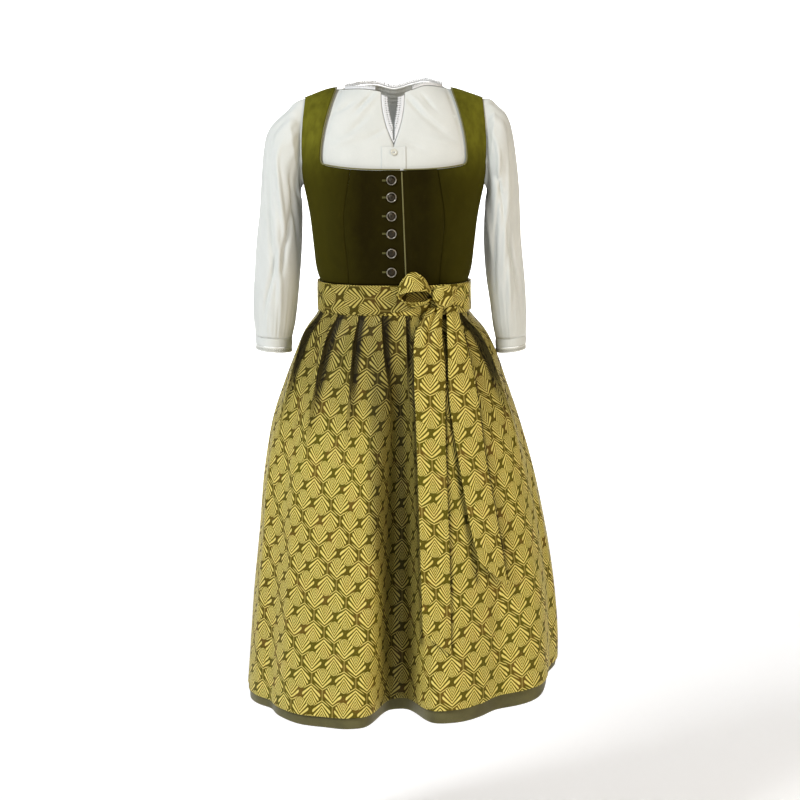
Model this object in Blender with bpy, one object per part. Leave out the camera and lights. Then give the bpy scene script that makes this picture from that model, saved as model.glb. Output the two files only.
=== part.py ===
"""Dirndl dress: velvet bodice and skirt, jacquard apron tied in a bow, and white blouse.

Frame: metres, +Z up. The wearer faces -Y, so the wearer's left is +X. The origin lies between
the shoulders, at the height of the strap tops. Every piece of cloth is a wall: a flat grid,
extruded once, whose two layers are then laid on the garment's form. Forms are worked out from
short tables of sections, and a piece that lies on another is made from its points, moved out.
"""
import math

import bmesh
import bpy
import numpy as np
from mathutils import Vector


# ---------------------------------------------------------------- driving dimensions

SEAM = 0.0003                 # gap between neighbouring pieces
SIDE_SEAM = 0.0006            # half a side seam's gap, in radians round the torso
CENTRE_SEAM = 0.0002          # half the blouse's centre front gap, in radians
SHOULDER_SEAM = 0.0012        # half a shoulder seam's gap, as a share of the strap's rise
VELVET = 0.0016               # wall thicknesses
SKIRT_CLOTH = 0.0014
JACQUARD = 0.0012
TIE_CLOTH = 0.0011
LINEN = 0.0011
LACE = 0.0010

WAIST_Z = -0.3358             # bodice meets skirt, at the waistband's top
NECKLINE_Z = -0.137           # front edge of the bodice between the straps
# The neckline rises from the centre to the straps: by how much, in which directions (radians),
# and over what height the cloth below follows it.
NECK_LIFT = 0.0090
NECK_LIFT_FULL, NECK_LIFT_END, NECK_LIFT_FADE = 0.80, 1.50, 0.25
NECK_LIFT_BELOW = 0.045
BACK_NECKLINE_Z = -0.090
ARMHOLE_Z = -0.172            # lowest point of the armhole
BLOUSE_INSET = 0.0055         # blouse lies this far inside the bodice
TORSO_POWER = 2.5             # 2 is an ellipse, more is squarer

STRAP_INNER_LANE = 0.127      # |x| of the strap's edges where they leave the bodice
STRAP_OUTER_LANE = 0.1590
STRAP_ROWS = 6                # grid rows from the strap's foot to the shoulder seam
BLOUSE_OUTER_LANE = 0.1530    # where the blouse's body ends and its sleeve begins
NECK_RING_HALF = 0.092        # half width and depth of the blouse's neck opening
NECK_RING_FRONT = 0.056
NECK_RING_BACK = 0.058

LAP_OVER_X = (0.0198, 0.0119)     # front edge of the right front, at waist and neckline
LAP_UNDER_X = -0.014
LAP_SINK = 0.0020             # how far the left front dips to pass under the right
LAP_FLAT = 0.0045             # how far past that edge it stays dipped

SKIRT_HEM_Z = -1.097
APRON_HEM_Z = -1.078
APRON_TOP_Z = -0.3905
APRON_REACH = (-101.0, 113.0)     # degrees from the front, below its pleats
APRON_GAP = 0.0022            # apron clear of the skirt

BAND_TOP_Z = -0.336
BAND_BOTTOM_Z = -0.3885
BAND_REACH = math.radians(106)
BAND_THICK = 0.0014
BAND_OUT = 0.0022             # band and ties, clear of the waist's form
TIE_LOWER_OUT = 0.0040
TIE_UPPER_OUT = 0.0055
TIE_AT_KNOT = 0.0120          # half the height of a tie where it enters the knot

BUTTON_RADIUS = 0.0086
BUTTON_X = -0.004
BUTTON_HEIGHTS = (-0.1536, -0.1822, -0.2141, -0.2444, -0.2786, -0.3121)
PEARL_RADIUS = 0.0058
PIPING_RADIUS = 0.0013


def table(columns, *rows):
    """Columns of numbers, by name, from rows."""
    return dict(zip(columns.split(), (np.array(c, float) for c in zip(*rows))))


# Sections of the bodice, from the waist up: half width, and depth before and behind.
TORSO = table("z half_width front back",
              (-0.345, 0.1285, 0.0963, 0.0823),
              (-0.336, 0.1300, 0.0972, 0.0832),
              (-0.322, 0.1345, 0.1000, 0.0860),
              (-0.273, 0.1415, 0.1090, 0.0920),
              (-0.225, 0.1470, 0.1170, 0.0990),
              (-0.180, 0.1555, 0.1150, 0.1040),
              (-0.137, 0.1660, 0.1060, 0.1060),
              (-0.090, 0.1680, 0.0960, 0.1030))

# The fullness that the princess seams give the bust.
CUP_X, CUP_Z = 0.080, -0.218
CUP_WIDTH, CUP_HEIGHT, CUP_FULLNESS = 0.050, 0.052, 0.009

# |x| of the princess seam.
PRINCESS = table("z x", (-0.345, 0.078), (-0.322, 0.0785), (-0.211, 0.0855), (-0.137, 0.0745))

# Heights of the grid lines, from the bottom up.
FRONT_LEVELS = (-0.3357, -0.3220, -0.2730, -0.2220, -0.1720, -0.1600, -0.1370)
BACK_LEVELS = (-0.3357, -0.3220, -0.2730, -0.2220, -0.1720, -0.1580, -0.1250, -0.0900)
BLOUSE_FRONT_LEVELS = (-0.2700, -0.2220, -0.1720, -0.1520, -0.1370)
BLOUSE_BACK_LEVELS = (-0.2700, -0.2220, -0.1720, -0.1300, -0.0900)
APRON_LEVELS = (-1.078, -0.950, -0.820, -0.690, -0.570, -0.490, -0.430, -0.3905)
SKIRT_LEVELS = (-1.097, -0.950, -0.820, -0.690, -0.570, -0.490, -0.430, -0.3905, -0.3360)

# Lanes of cloth that run up over the chest: |x| where they start and where they end.
LANES = table("low top", (0.0, 0.0), (0.075, 0.060), (0.127, 0.100), (0.1590, 0.1545))

# Height of the neck edge and, from 0.1 m out, of the shoulder line.
SHOULDER = table("x z",
                 (-0.1600, -0.0175), (-0.1000, 0.0020), (-0.0800, 0.0030), (-0.0300, -0.0010),
                 (0.0000, -0.0090), (0.0300, 0.0000), (0.0550, 0.0080), (0.0800, 0.0070),
                 (0.1000, 0.0020), (0.1600, -0.0175))

# Sections of the skirt, hem first: reach to the wearer's right and left, before and behind.
SKIRT = table("z right left front back power",
              (-1.097, 0.2570, 0.2930, 0.2130, 0.2160, 2.0),
              (-1.019, 0.2520, 0.2920, 0.2060, 0.2100, 2.0),
              (-0.895, 0.2445, 0.2830, 0.1930, 0.1980, 2.0),
              (-0.794, 0.2355, 0.2685, 0.1790, 0.1840, 2.0),
              (-0.670, 0.2255, 0.2435, 0.1630, 0.1680, 2.0),
              (-0.574, 0.2085, 0.2160, 0.1470, 0.1500, 2.05),
              (-0.518, 0.1900, 0.1970, 0.1360, 0.1380, 2.1),
              (-0.467, 0.1710, 0.1790, 0.1230, 0.1240, 2.2),
              (-0.427, 0.1540, 0.1590, 0.1110, 0.1070, 2.3),
              (-0.389, 0.1290, 0.1290, 0.0965, 0.0825, 2.5),
              (-0.345, 0.1285, 0.1285, 0.0960, 0.0820, 2.5))

# The deep valley between the two front lobes: its middle and half width as shares of the
# skirt's reach, and its depth.
VALLEY = table("z middle half_width depth",
               (-1.097, 0.020, 0.150, 0.108),
               (-0.900, 0.030, 0.135, 0.094),
               (-0.700, 0.045, 0.125, 0.066),
               (-0.560, 0.050, 0.115, 0.034),
               (-0.470, 0.040, 0.100, 0.009),
               (-0.389, 0.030, 0.100, 0.000))

# Soft folds of the skirt and of the apron that lies on it: direction at the waist and at the
# hem in degrees from the front, half width in degrees, and how far each stands out at the hem
# (a minus sign sinks it).
SOFT_FOLDS = table("waist hem half_width out",
                   (-58, -64, 8, -0.013), (-36, -38, 10, 0.009), (-22, -19, 7, 0.008),
                   (24, 22, 8, 0.010), (42, 40, 7, -0.014), (60, 57, 8, 0.011),
                   (78, 76, 7, -0.010), (-84, -86, 8, 0.004))
BACK_FOLDS = table("waist hem half_width out",
                   (104, 108, 7, 0.016), (122, 119, 6, -0.015), (137, 135, 7, 0.019),
                   (154, 152, 6, -0.017), (168, 170, 7, 0.018), (184, 186, 6, -0.019),
                   (199, 200, 7, 0.017), (216, 214, 6, -0.016), (231, 233, 7, 0.018),
                   (249, 247, 6, -0.014), (262, 261, 6, 0.010))

# Knife pleats laid under the waistband. Each edge in degrees from the front, at the band and
# where the pleat dies out at free_z; turn is +1 where the upper layer ends towards +X.
PLEATS = table("band free free_z rise turn width",
               (-71.0, -68.0, -0.60, 0.0075, 1, 10.0),
               (-42.0, -43.0, -0.64, 0.0085, 1, 9.5),
               (-22.0, -22.0, -0.62, 0.0080, 1, 8.5),
               (-6.0, -3.0, -0.60, 0.0085, 1, 7.5),
               (5.5, 8.5, -0.56, 0.0060, 1, 5.0),
               (24.0, 24.0, -0.64, 0.0085, -1, 7.5),
               (40.5, 44.0, -0.60, 0.0070, -1, 8.0),
               (57.0, 67.0, -0.62, 0.0095, -1, 9.0))

# Grid lines over the front valley, as shares of its half width, and the widest step elsewhere.
VALLEY_SHARES = (-1.3, -0.95, -0.65, -0.3, 0.3, 0.65, 0.95, 1.3)
WIDEST_STEP = 9.5             # degrees

PLEATS_FREE_Z = -0.57         # where the drift of the pleats is complete

# How far the hem is lifted, by direction in degrees, for the apron and the skirt.
HEM_LIFT = table("direction apron skirt",
                 (-180, 0.020, 0.018), (-100, 0.004, 0.006), (-60, 0.000, 0.003), (-25, 0.000, 0.000),
                 (4, 0.010, 0.008), (28, 0.020, 0.015), (50, 0.032, 0.026), (72, 0.048, 0.052),
                 (95, 0.062, 0.070), (130, 0.040, 0.045), (180, 0.020, 0.018))

# Sleeve sections in the plane x, z, for the wearer's right, as |x|: the outer and the inner
# side, the middle in y, and half the depth.
SLEEVE_RIGHT = table("outer_x outer_z inner_x inner_z mid_y half_depth",
                     (0.1830, -0.0390, 0.1640, -0.1760, 0.004, 0.0530),
                     (0.2165, -0.0715, 0.1640, -0.1900, 0.004, 0.0590),
                     (0.2275, -0.1115, 0.1625, -0.2050, 0.004, 0.0590),
                     (0.2335, -0.1900, 0.1620, -0.2380, 0.005, 0.0560),
                     (0.2380, -0.2550, 0.1635, -0.2830, 0.007, 0.0530),
                     (0.2415, -0.3140, 0.1670, -0.3300, 0.009, 0.0510),
                     (0.2470, -0.3740, 0.1720, -0.3820, 0.011, 0.0490),
                     (0.2465, -0.4360, 0.1800, -0.4410, 0.013, 0.0420))
SLEEVE_LEFT = table("outer_x outer_z inner_x inner_z mid_y half_depth",
                    (0.1760, -0.0290, 0.1640, -0.1760, 0.006, 0.0530),
                    (0.1960, -0.0475, 0.1640, -0.1900, 0.006, 0.0590),
                    (0.2070, -0.0800, 0.1625, -0.2050, 0.006, 0.0590),
                    (0.2160, -0.1520, 0.1600, -0.2300, 0.008, 0.0560),
                    (0.2205, -0.2330, 0.1600, -0.2800, 0.010, 0.0530),
                    (0.2265, -0.2950, 0.1640, -0.3300, 0.012, 0.0510),
                    (0.2320, -0.3550, 0.1720, -0.3820, 0.016, 0.0490),
                    (0.2358, -0.4360, 0.1800, -0.4430, 0.020, 0.0400))
SLEEVE_COLUMNS = 15           # grid columns round a sleeve
CUFF_HEIGHT = 0.0150
CUFF_LACE_HEIGHT = 0.0090
CUFF_PULL = 0.94              # the cuff's girth as a share of the gathered sleeve's
ARMHOLE_MIDDLE = (0.002, -0.095)  # y, z
NECK_LACE_HEIGHT = 0.0060
RING_LANES = (10.0, 39.0)     # the neck edge's span before the wearer, in degrees

# The neck slit: where its foot lies on the way up from the neckline to the neck edge, how far
# its edges part at the top (in radians, by side), and the lane that its lace takes.
SLIT_FOOT = 0.30
SLIT_LANES = {-1: 0.105, 1: 0.085}
SLIT_LACE_LANE = 0.045
PLACKET_LANE = 0.075
PLACKET_LEVELS = (-0.165, -0.150, -0.137)

# The tails: how far each edge lies from the middle plane.
TAIL_LONG = table("z inner outer",
                  (-0.965, 0.0500, 0.0985), (-0.850, 0.0470, 0.0975), (-0.700, 0.0425, 0.0925),
                  (-0.560, 0.0380, 0.0885), (-0.480, 0.0350, 0.0880), (-0.410, 0.0400, 0.0830),
                  (-0.374, 0.0600, 0.0840))
TAIL_SHORT = table("z inner outer",
                   (-0.857, 0.1480, 0.1985), (-0.760, 0.1300, 0.1810), (-0.640, 0.1110, 0.1600),
                   (-0.520, 0.0950, 0.1420), (-0.440, 0.0920, 0.1250), (-0.374, 0.0900, 0.1080))
TAIL_LONG_POINT = 0.040       # how far the slanted end runs past its short side
TAIL_SHORT_POINT = 0.046
TAIL_OFF = 0.0145             # tails clear of the apron's panel under its pleats

KNOT_X, KNOT_Z = 0.0800, -0.3545
KNOT_HALF = (0.0170, 0.0080, 0.0175)

# The bow's loop: its front and back edges, from the knot round the tip and back to the knot,
# each at its x, z and its distance out from the waist.
LOOP_EDGES = table("front_x front_z front_out back_x back_z back_out",
                   (0.0590, -0.3490, 0.0110, 0.0600, -0.3430, 0.0062),
                   (0.0460, -0.3445, 0.0250, 0.0500, -0.3230, 0.0062),
                   (0.0230, -0.3455, 0.0300, 0.0290, -0.3135, 0.0062),
                   (0.0075, -0.3525, 0.0250, 0.0105, -0.3400, 0.0062),
                   (0.0230, -0.3610, 0.0310, 0.0240, -0.3700, 0.0064),
                   (0.0460, -0.3605, 0.0270, 0.0460, -0.3690, 0.0064),
                   (0.0590, -0.3560, 0.0120, 0.0600, -0.3620, 0.0064))


# ---------------------------------------------------------------- forms

def smooth(at, knots, values):
    """Cubic through the rows of a table, level past its ends; knots run upward."""
    at = np.clip(at, knots[0], knots[-1])
    slopes = np.gradient(values, knots)
    k = np.clip(np.searchsorted(knots, at) - 1, 0, len(knots) - 2)
    step = knots[k + 1] - knots[k]
    t = (at - knots[k]) / step
    start = values[k] * (1 + 2 * t) + slopes[k] * step * t
    end = values[k + 1] * (3 - 2 * t) - slopes[k + 1] * step * (1 - t)
    return start * (1 - t) ** 2 + end * t * t


def column(rows, name, at, key="z"):
    """One named column of a table, read between its rows."""
    return smooth(at, rows[key], rows[name])


def ease(t):
    """0 to 1, smooth at both ends."""
    t = np.clip(t, 0.0, 1.0)
    return t * t * (3 - 2 * t)


def stack(*axes):
    """Points from their coordinates, whatever mix of numbers and arrays they are."""
    return np.stack(np.broadcast_arrays(*axes), axis=-1)


def moved_out(form, a, b, distance, step=1e-4):
    """Points of a form at (a, b), moved along its normal; minus is towards the wearer."""
    here = form(a, b)
    along_a = form(a + step, b) - form(a - step, b)
    along_b = form(a, b) - form(a, b - step)
    normal = np.cross(along_a, along_b)
    normal /= np.linalg.norm(normal, axis=-1, keepdims=True)
    return here + normal * np.asarray(distance)[..., None]


def oval(direction, power):
    """A rounded section of half width and half depth 1: power 2 is round, more is squarer."""
    s, c = np.sin(direction), np.cos(direction)
    return np.sign(s) * np.abs(s) ** (2 / power), -np.sign(c) * np.abs(c) ** (2 / power)


def torso(direction, z):
    """The bodice's form below the neckline; direction is 0 at the front, positive to +X."""
    to_strap = np.minimum(np.abs(direction) / NECK_LIFT_FULL, 1) ** 2
    to_side = ease((NECK_LIFT_END - np.abs(direction)) / NECK_LIFT_FADE)
    z = z + NECK_LIFT * to_strap * to_side * ease((z - NECKLINE_Z) / NECK_LIFT_BELOW + 1)
    across, deep = oval(direction, TORSO_POWER)
    x = across * column(TORSO, "half_width", z)
    y = deep * np.where(deep < 0, column(TORSO, "front", z), column(TORSO, "back", z))
    cup = np.exp(-((np.abs(x) - CUP_X) / CUP_WIDTH) ** 2 - ((z - CUP_Z) / CUP_HEIGHT) ** 2)
    return stack(x, y - CUP_FULLNESS * cup * ease(-deep * 3), z)


def direction_at(x, z):
    """The direction in which the torso's section lies at x, before the wearer."""
    share = np.abs(x) / column(TORSO, "half_width", z)
    return np.sign(x) * np.arcsin(np.clip(share, 0, 1) ** (TORSO_POWER / 2))


def chest(direction, rise, level, behind):
    """Lanes that run up from the neckline level to the neck edge or the shoulder line."""
    base = torso(direction, level)
    lean = (base - torso(direction, level - 0.004)) / 0.004
    top_x = np.sign(base[..., 0]) * column(LANES, "top", np.abs(base[..., 0]), "low")
    inside = np.clip(1 - (top_x / NECK_RING_HALF) ** 2, 0, 1)
    depth = NECK_RING_BACK if behind else -NECK_RING_FRONT
    top_y = depth * np.sqrt(inside)
    top_z = column(SHOULDER, "z", top_x, "x") + (0.008 * inside if behind else 0)
    height = top_z - base[..., 2]
    sag = 0.35 * inside * height
    reach = base[..., 1] - top_y
    top = stack(top_x, top_y, top_z)
    low_handle = base + lean * (0.42 * height)[..., None]
    top_handle = stack(top_x, top_y + (0.56 - 0.2 * inside) * reach, top_z - sag)
    t = np.asarray(rise)[..., None]
    return (base * (1 - t) ** 3 + 3 * low_handle * t * (1 - t) ** 2
            + 3 * top_handle * t * t * (1 - t) + top * t ** 3)


def upper_body(direction, height):
    """The form before the wearer: height is z up to the neckline, then 0 to 1 above it."""
    low = torso(direction, np.minimum(height, NECKLINE_Z))
    high = chest(direction, np.maximum(height, 0.0), NECKLINE_Z, behind=False)
    return np.where((height > NECKLINE_Z)[..., None], high, low)


def upper_back(direction, height):
    """The same behind the wearer."""
    low = torso(direction, np.minimum(height, BACK_NECKLINE_Z))
    high = chest(direction, np.maximum(height, 0.0), BACK_NECKLINE_Z, behind=True)
    return np.where((height > BACK_NECKLINE_Z)[..., None], high, low)


def levels(t, heights):
    """Heights of evenly numbered grid lines."""
    return np.interp(t, np.linspace(0, 1, len(heights)), heights)


def climb(t, heights, share):
    """Heights for upper_body: the given levels, then 0 to 1; share is the lower part's."""
    low = levels(np.minimum(t / share, 1.0), heights)
    high = (t - share) / (1 - share)
    return np.where(t > share + 1e-9, np.maximum(high, 1e-3), low)


def armhole_direction(height, level, lane_direction):
    """Where the armhole's edge lies: the side seam below it, the strap's outer lane above."""
    up = np.clip((np.minimum(height, level) - ARMHOLE_Z) / (level - ARMHOLE_Z), 0, 1)
    up = np.where(height > level, 1.0, up)
    return math.pi / 2 + (lane_direction - math.pi / 2) * np.sqrt(up)


def fold_sum(folds, degrees, down):
    """How far the folds of a table push the cloth out, growing from the waist to the hem."""
    total = 0.0
    for waist, hem, width, out in zip(*folds.values()):
        turn = (degrees - (waist + (hem - waist) * down) + 180) % 360 - 180
        total = total + out * np.exp(-(turn / width) ** 2)
    return total * down ** 1.2


def skirt(direction, z):
    """The skirt's form; z is the nominal height, before the hem is lifted."""
    across, deep = oval(direction, column(SKIRT, "power", z))
    reach = np.where(across > 0, column(SKIRT, "left", z), column(SKIRT, "right", z))
    depth = np.where(deep < 0, column(SKIRT, "front", z), column(SKIRT, "back", z))
    down = np.clip((WAIST_Z - z) / (WAIST_Z - SKIRT_HEM_Z), 0, 1)
    degrees = np.degrees(direction)
    folds = fold_sum(SOFT_FOLDS, degrees, down) + fold_sum(BACK_FOLDS, degrees, down)
    off_middle = (across - column(VALLEY, "middle", z)) / column(VALLEY, "half_width", z)
    valley = column(VALLEY, "depth", z) * np.exp(-np.abs(off_middle) ** 3) * (deep < 0)
    return stack(across * (reach + folds), deep * (depth + folds) + valley, z)


def lifted(points, direction, hem_z, cloth):
    """The form's points with the hem at its uneven height."""
    degrees = (np.degrees(direction) + 180) % 360 - 180
    down = np.clip((WAIST_Z - points[..., 2]) / (WAIST_Z - hem_z), 0, 1)
    points[..., 2] += column(HEM_LIFT, cloth, degrees, "direction") * down ** 3
    return points


def pleat_rise(degrees, z):
    """How far the knife pleats lift the apron off the skirt: a slow rise and a sharp drop."""
    total = 0.0
    for band, _, free_z, rise, turn, width in zip(*PLEATS.values()):
        down = np.clip((APRON_TOP_Z - z) / (APRON_TOP_Z - free_z), 0, 1.3)
        past = (degrees - band) * turn / width
        ramp = np.where(past < 0, ease(1 + past) ** 1.5, ease(1 - past / (0.16 + 0.5 * down)))
        opening = (0.3 + 0.7 * ease(down * 3)) * (1 - ease(down / 1.3))
        total = np.maximum(total, rise * ramp * opening)
    return total


def apron(degrees, z, out):
    """The apron's form: the skirt's, moved out by its gap and its pleats, and by out.

    Degrees number the cloth at the band; below it the pleats drift to their free places.
    """
    drift = np.interp(degrees, PLEATS["band"], PLEATS["free"] - PLEATS["band"])
    down = np.clip((APRON_TOP_Z - z) / (APRON_TOP_Z - PLEATS_FREE_Z), 0, 1)
    direction = np.radians(degrees + drift * down)
    distance = APRON_GAP + JACQUARD + pleat_rise(degrees, z) + out
    return moved_out(skirt, direction, z, distance), direction


# ---------------------------------------------------------------- making pieces

def material(name, colour, roughness, metallic=0.0):
    """A Principled material."""
    made = bpy.data.materials.new(name)
    made.use_nodes = True
    shader = made.node_tree.nodes["Principled BSDF"]
    shader.inputs["Base Color"].default_value = (*colour, 1.0)
    shader.inputs["Roughness"].default_value = roughness
    shader.inputs["Metallic"].default_value = metallic
    return made


def add_object(name, mesh_maker, finish):
    """Links a mesh, made by filling a bmesh, under the name of its piece."""
    bm = bmesh.new()
    mesh_maker(bm)
    bmesh.ops.recalc_face_normals(bm, faces=bm.faces[:])
    if bm.calc_volume(signed=True) < 0:
        bmesh.ops.reverse_faces(bm, faces=bm.faces[:])
    mesh = bpy.data.meshes.new(name)
    bm.to_mesh(mesh)
    bm.free()
    mesh.materials.append(finish)
    mesh.shade_smooth()
    piece = bpy.data.objects.new(name, mesh)
    bpy.context.scene.collection.objects.link(piece)
    return piece


def wall(name, finish, columns, rows, place, notch=None):
    """A wall of cloth: a grid extruded once, whose layers place(s, t, layer) lays out.

    s and t run from 0 to 1 across and up, and layer is 0 inside and 1 outside. Faces for
    which notch(s, t) holds at their middle are cut away first.
    """
    def fill(bm):
        bmesh.ops.create_grid(bm, x_segments=columns, y_segments=rows, size=0.5)
        if notch:
            middles = [(f, f.calc_center_median()) for f in bm.faces]
            gone = [f for f, mid in middles if notch(mid.x + 0.5, mid.y + 0.5)]
            bmesh.ops.delete(bm, geom=gone, context="FACES")
        outer = bmesh.ops.extrude_face_region(bm, geom=bm.faces[:])["geom"]
        for vertex in outer:
            if isinstance(vertex, bmesh.types.BMVert):
                vertex.co.z = 1.0
        plan = np.array([v.co for v in bm.verts])
        points = place(plan[:, 0] + 0.5, plan[:, 1] + 0.5, plan[:, 2])
        for vertex, point in zip(bm.verts, points):
            vertex.co = point

    return add_object(name, fill, finish)


def between(low, high, t):
    """Straight from low to high."""
    return low + (high - low) * t


def cord(name, finish, points, radius):
    """A thin round cord through points."""
    curve = bpy.data.curves.new(name, "CURVE")
    curve.dimensions = "3D"
    curve.bevel_depth = radius
    curve.bevel_resolution = 0
    curve.use_fill_caps = True
    spline = curve.splines.new("POLY")
    spline.points.add(len(points) - 1)
    for target, point in zip(spline.points, points):
        target.co = (*point, 1.0)
    curve.materials.append(finish)
    piece = bpy.data.objects.new(name, curve)
    bpy.context.scene.collection.objects.link(piece)
    return piece


def turned(name, finish, profile, centre, facing):
    """A round piece: a profile of radius and height spun about the way it faces."""
    def fill(bm):
        verts = [bm.verts.new((radius, 0.0, height)) for radius, height in profile]
        edges = [bm.edges.new(pair) for pair in zip(verts, verts[1:])]
        bmesh.ops.spin(bm, geom=verts + edges, cent=(0, 0, 0), axis=(0, 0, 1),
                       angle=2 * math.pi, steps=12, use_merge=True)
        bmesh.ops.remove_doubles(bm, verts=bm.verts[:], dist=1e-6)

    piece = add_object(name, fill, finish)
    piece.location = centre
    piece.rotation_mode = "QUATERNION"
    piece.rotation_quaternion = facing.to_track_quat("Z", "Y")
    return piece


# ---------------------------------------------------------------- dress

def lane_direction(lane_x, level):
    """Direction of the lane that leaves the given level at |x|."""
    return float(direction_at(np.float64(lane_x), np.float64(level)))


def front_panel(name, finish, side):
    """A centre front: from the princess seam to the button line, the left dipping to lap under."""
    def place(s, t, layer):
        z = levels(t, FRONT_LEVELS)
        seam_x = side * (column(PRINCESS, "x", z) - SEAM / 2)
        edge_x = lap_edge_x(z)
        near = direction_at(edge_x if side < 0 else edge_x + LAP_FLAT, z)
        if side < 0:
            direction = between(direction_at(seam_x, z), near, s)
            return moved_out(torso, direction, z, -VELVET * (1 - layer))
        middle, under = direction_at(edge_x + 3 * LAP_FLAT, z), direction_at(LAP_UNDER_X, z)
        direction = np.where(s < 0.6, between(direction_at(seam_x, z), middle, s / 0.6),
                             np.where(s < 0.7, middle, between(near, under, (s - 0.8) / 0.2)))
        sink = LAP_SINK * (s > 0.7)
        return moved_out(torso, direction, z, -sink - VELVET * (1 - layer))

    return wall(name, finish, 5, len(FRONT_LEVELS) - 1, place)


def lap_edge_x(z):
    """x of the right front's free edge."""
    return between(*LAP_OVER_X, (z - WAIST_Z) / (NECKLINE_Z - WAIST_Z))


def side_panel(name, finish, side, behind):
    """A side front or side back with its half of the strap cut on."""
    level = BACK_NECKLINE_Z if behind else NECKLINE_Z
    form = upper_back if behind else upper_body
    outer_lane = lane_direction(STRAP_OUTER_LANE, level)
    inner_lane = lane_direction(STRAP_INNER_LANE, level)
    seam_lane = lane_direction(PRINCESS["x"][-1], level)
    strap_share = (inner_lane - seam_lane) / (outer_lane - seam_lane)
    heights = BACK_LEVELS if behind else FRONT_LEVELS
    columns, cut, rows = 6, 0.5, len(heights) - 1 + STRAP_ROWS
    low_share = 1 - STRAP_ROWS / rows

    def place(s, t, layer):
        height = climb(t, heights, low_share)
        z = np.minimum(height, level)
        seam = direction_at(column(PRINCESS, "x", z) + SEAM / 2, z)
        edge = armhole_direction(height, level, outer_lane) - SIDE_SEAM
        share = np.where(s < cut, s / cut * strap_share,
                         strap_share + (s - cut) / (1 - cut) * (1 - strap_share))
        direction = between(seam, edge, share)
        height = np.where(t >= 1, 1 - SHOULDER_SEAM, height)
        turned_to = side * (math.pi - direction if behind else direction)
        return moved_out(form, turned_to, height, -VELVET * (1 - layer))

    return wall(name, finish, columns, rows, place, lambda s, t: t > low_share and s < cut)


def back_panel(name, finish):
    """The centre back, between the side backs."""
    def place(s, t, layer):
        z = levels(t, BACK_LEVELS)
        seam = direction_at(column(PRINCESS, "x", z) - SEAM / 2, z)
        direction = math.pi + (0.5 - s) * 2 * seam
        return moved_out(torso, direction, z, -VELVET * (1 - layer))

    return wall(name, finish, 8, len(BACK_LEVELS) - 1, place)


def bodice(velvet):
    """Seven velvet panels."""
    front_panel("bodice_front_right", velvet, -1)
    front_panel("bodice_front_left", velvet, 1)
    for side, word in ((-1, "right"), (1, "left")):
        side_panel(f"bodice_side_front_{word}", velvet, side, False)
        side_panel(f"bodice_side_back_{word}", velvet, side, True)
    back_panel("bodice_back", velvet)


def piping(satin):
    """Thin piping along the neckline, up the straps' inner edges, and down the front edge."""
    inner = lane_direction(STRAP_INNER_LANE, NECKLINE_Z)
    clear = 1.5 * SEAM + PIPING_RADIUS
    for side, word in ((-1, "right"), (1, "left")):
        centre_x = LAP_OVER_X[1] + (-0.0010 if side < 0 else 2 * clear + 0.0012)
        start = float(direction_at(np.float64(centre_x), np.float64(NECKLINE_Z)))
        seam = side * lane_direction(PRINCESS["x"][-1], NECKLINE_Z)
        corner = side * (inner - 0.014)
        along = np.concatenate([np.linspace(start, seam, 4), np.linspace(seam, corner, 4)[1:]])
        neck = moved_out(torso, along, np.full_like(along, NECKLINE_Z), -VELVET / 2)
        neck[..., 2] += clear
        climb_to = np.linspace(0, 1, 7)[1:] - 0.02
        strap = moved_out(upper_body, np.full_like(climb_to, side * inner), climb_to, -VELVET / 2)
        strap[..., 0] -= side * clear
        cord(f"piping_neck_{word}", satin, np.concatenate([neck, strap]), PIPING_RADIUS)
    z = np.array(FRONT_LEVELS)
    z[0], z[-1] = BAND_TOP_Z + 0.002, NECKLINE_Z - 0.002
    edge = moved_out(torso, direction_at(lap_edge_x(z), z), z, -LAP_SINK + clear)
    edge[..., 0] += clear
    cord("piping_front_edge", satin, edge, PIPING_RADIUS)


def buttons(metal):
    """Six domed metal buttons in a row, each with a raised rim."""
    r = BUTTON_RADIUS
    profile = ((0.0, 0.0), (r * 0.94, 0.0), (r, 0.0026), (r * 0.88, 0.0034),
               (r * 0.68, 0.0026), (r * 0.40, 0.0038), (0.0, 0.0044))
    for number, z in enumerate(BUTTON_HEIGHTS, start=1):
        direction = direction_at(np.float64(BUTTON_X), np.float64(z))
        foot = moved_out(torso, direction, np.float64(z), 2 * SEAM)
        facing = moved_out(torso, direction, np.float64(z), 1.0) - moved_out(
            torso, direction, np.float64(z), 0.0)
        turned(f"button_{number}", metal, profile, foot, to_vector(facing))


def grid_lines(start, end, wanted, widest):
    """Grid lines in degrees: the wanted ones between start and end, with wide gaps split."""
    lines = [start] + sorted(d for d in wanted if start + 1 < d < end - 1) + [end]
    spaced = [start]
    for line in lines[1:]:
        if line - spaced[-1] < 0.9:
            continue
        parts = math.ceil((line - spaced[-1]) / widest)
        spaced.extend(np.linspace(spaced[-1], line, parts + 1)[1:])
    spaced[-1] = end
    return np.array(spaced)


def back_lines():
    """Grid lines in degrees over the back, on its folds."""
    return grid_lines(90.1, 269.9, BACK_FOLDS["hem"], WIDEST_STEP)


def front_lines():
    """Grid lines in degrees over the front: on the valley, the soft folds and the pleats."""
    middle, half = VALLEY["middle"][0], VALLEY["half_width"][0]
    valley = [math.degrees(math.asin(middle + half * share)) for share in VALLEY_SHARES]
    pleats = [free + turn * width * share for free, turn, width in
              zip(PLEATS["free"], PLEATS["turn"], PLEATS["width"]) for share in (0.0, 0.25)]
    outside = [line for line in [*pleats, *SOFT_FOLDS["hem"]]
               if not valley[0] - 1 < line < valley[-1] + 1]
    return grid_lines(-89.9, 89.9, valley + outside, WIDEST_STEP)


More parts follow.
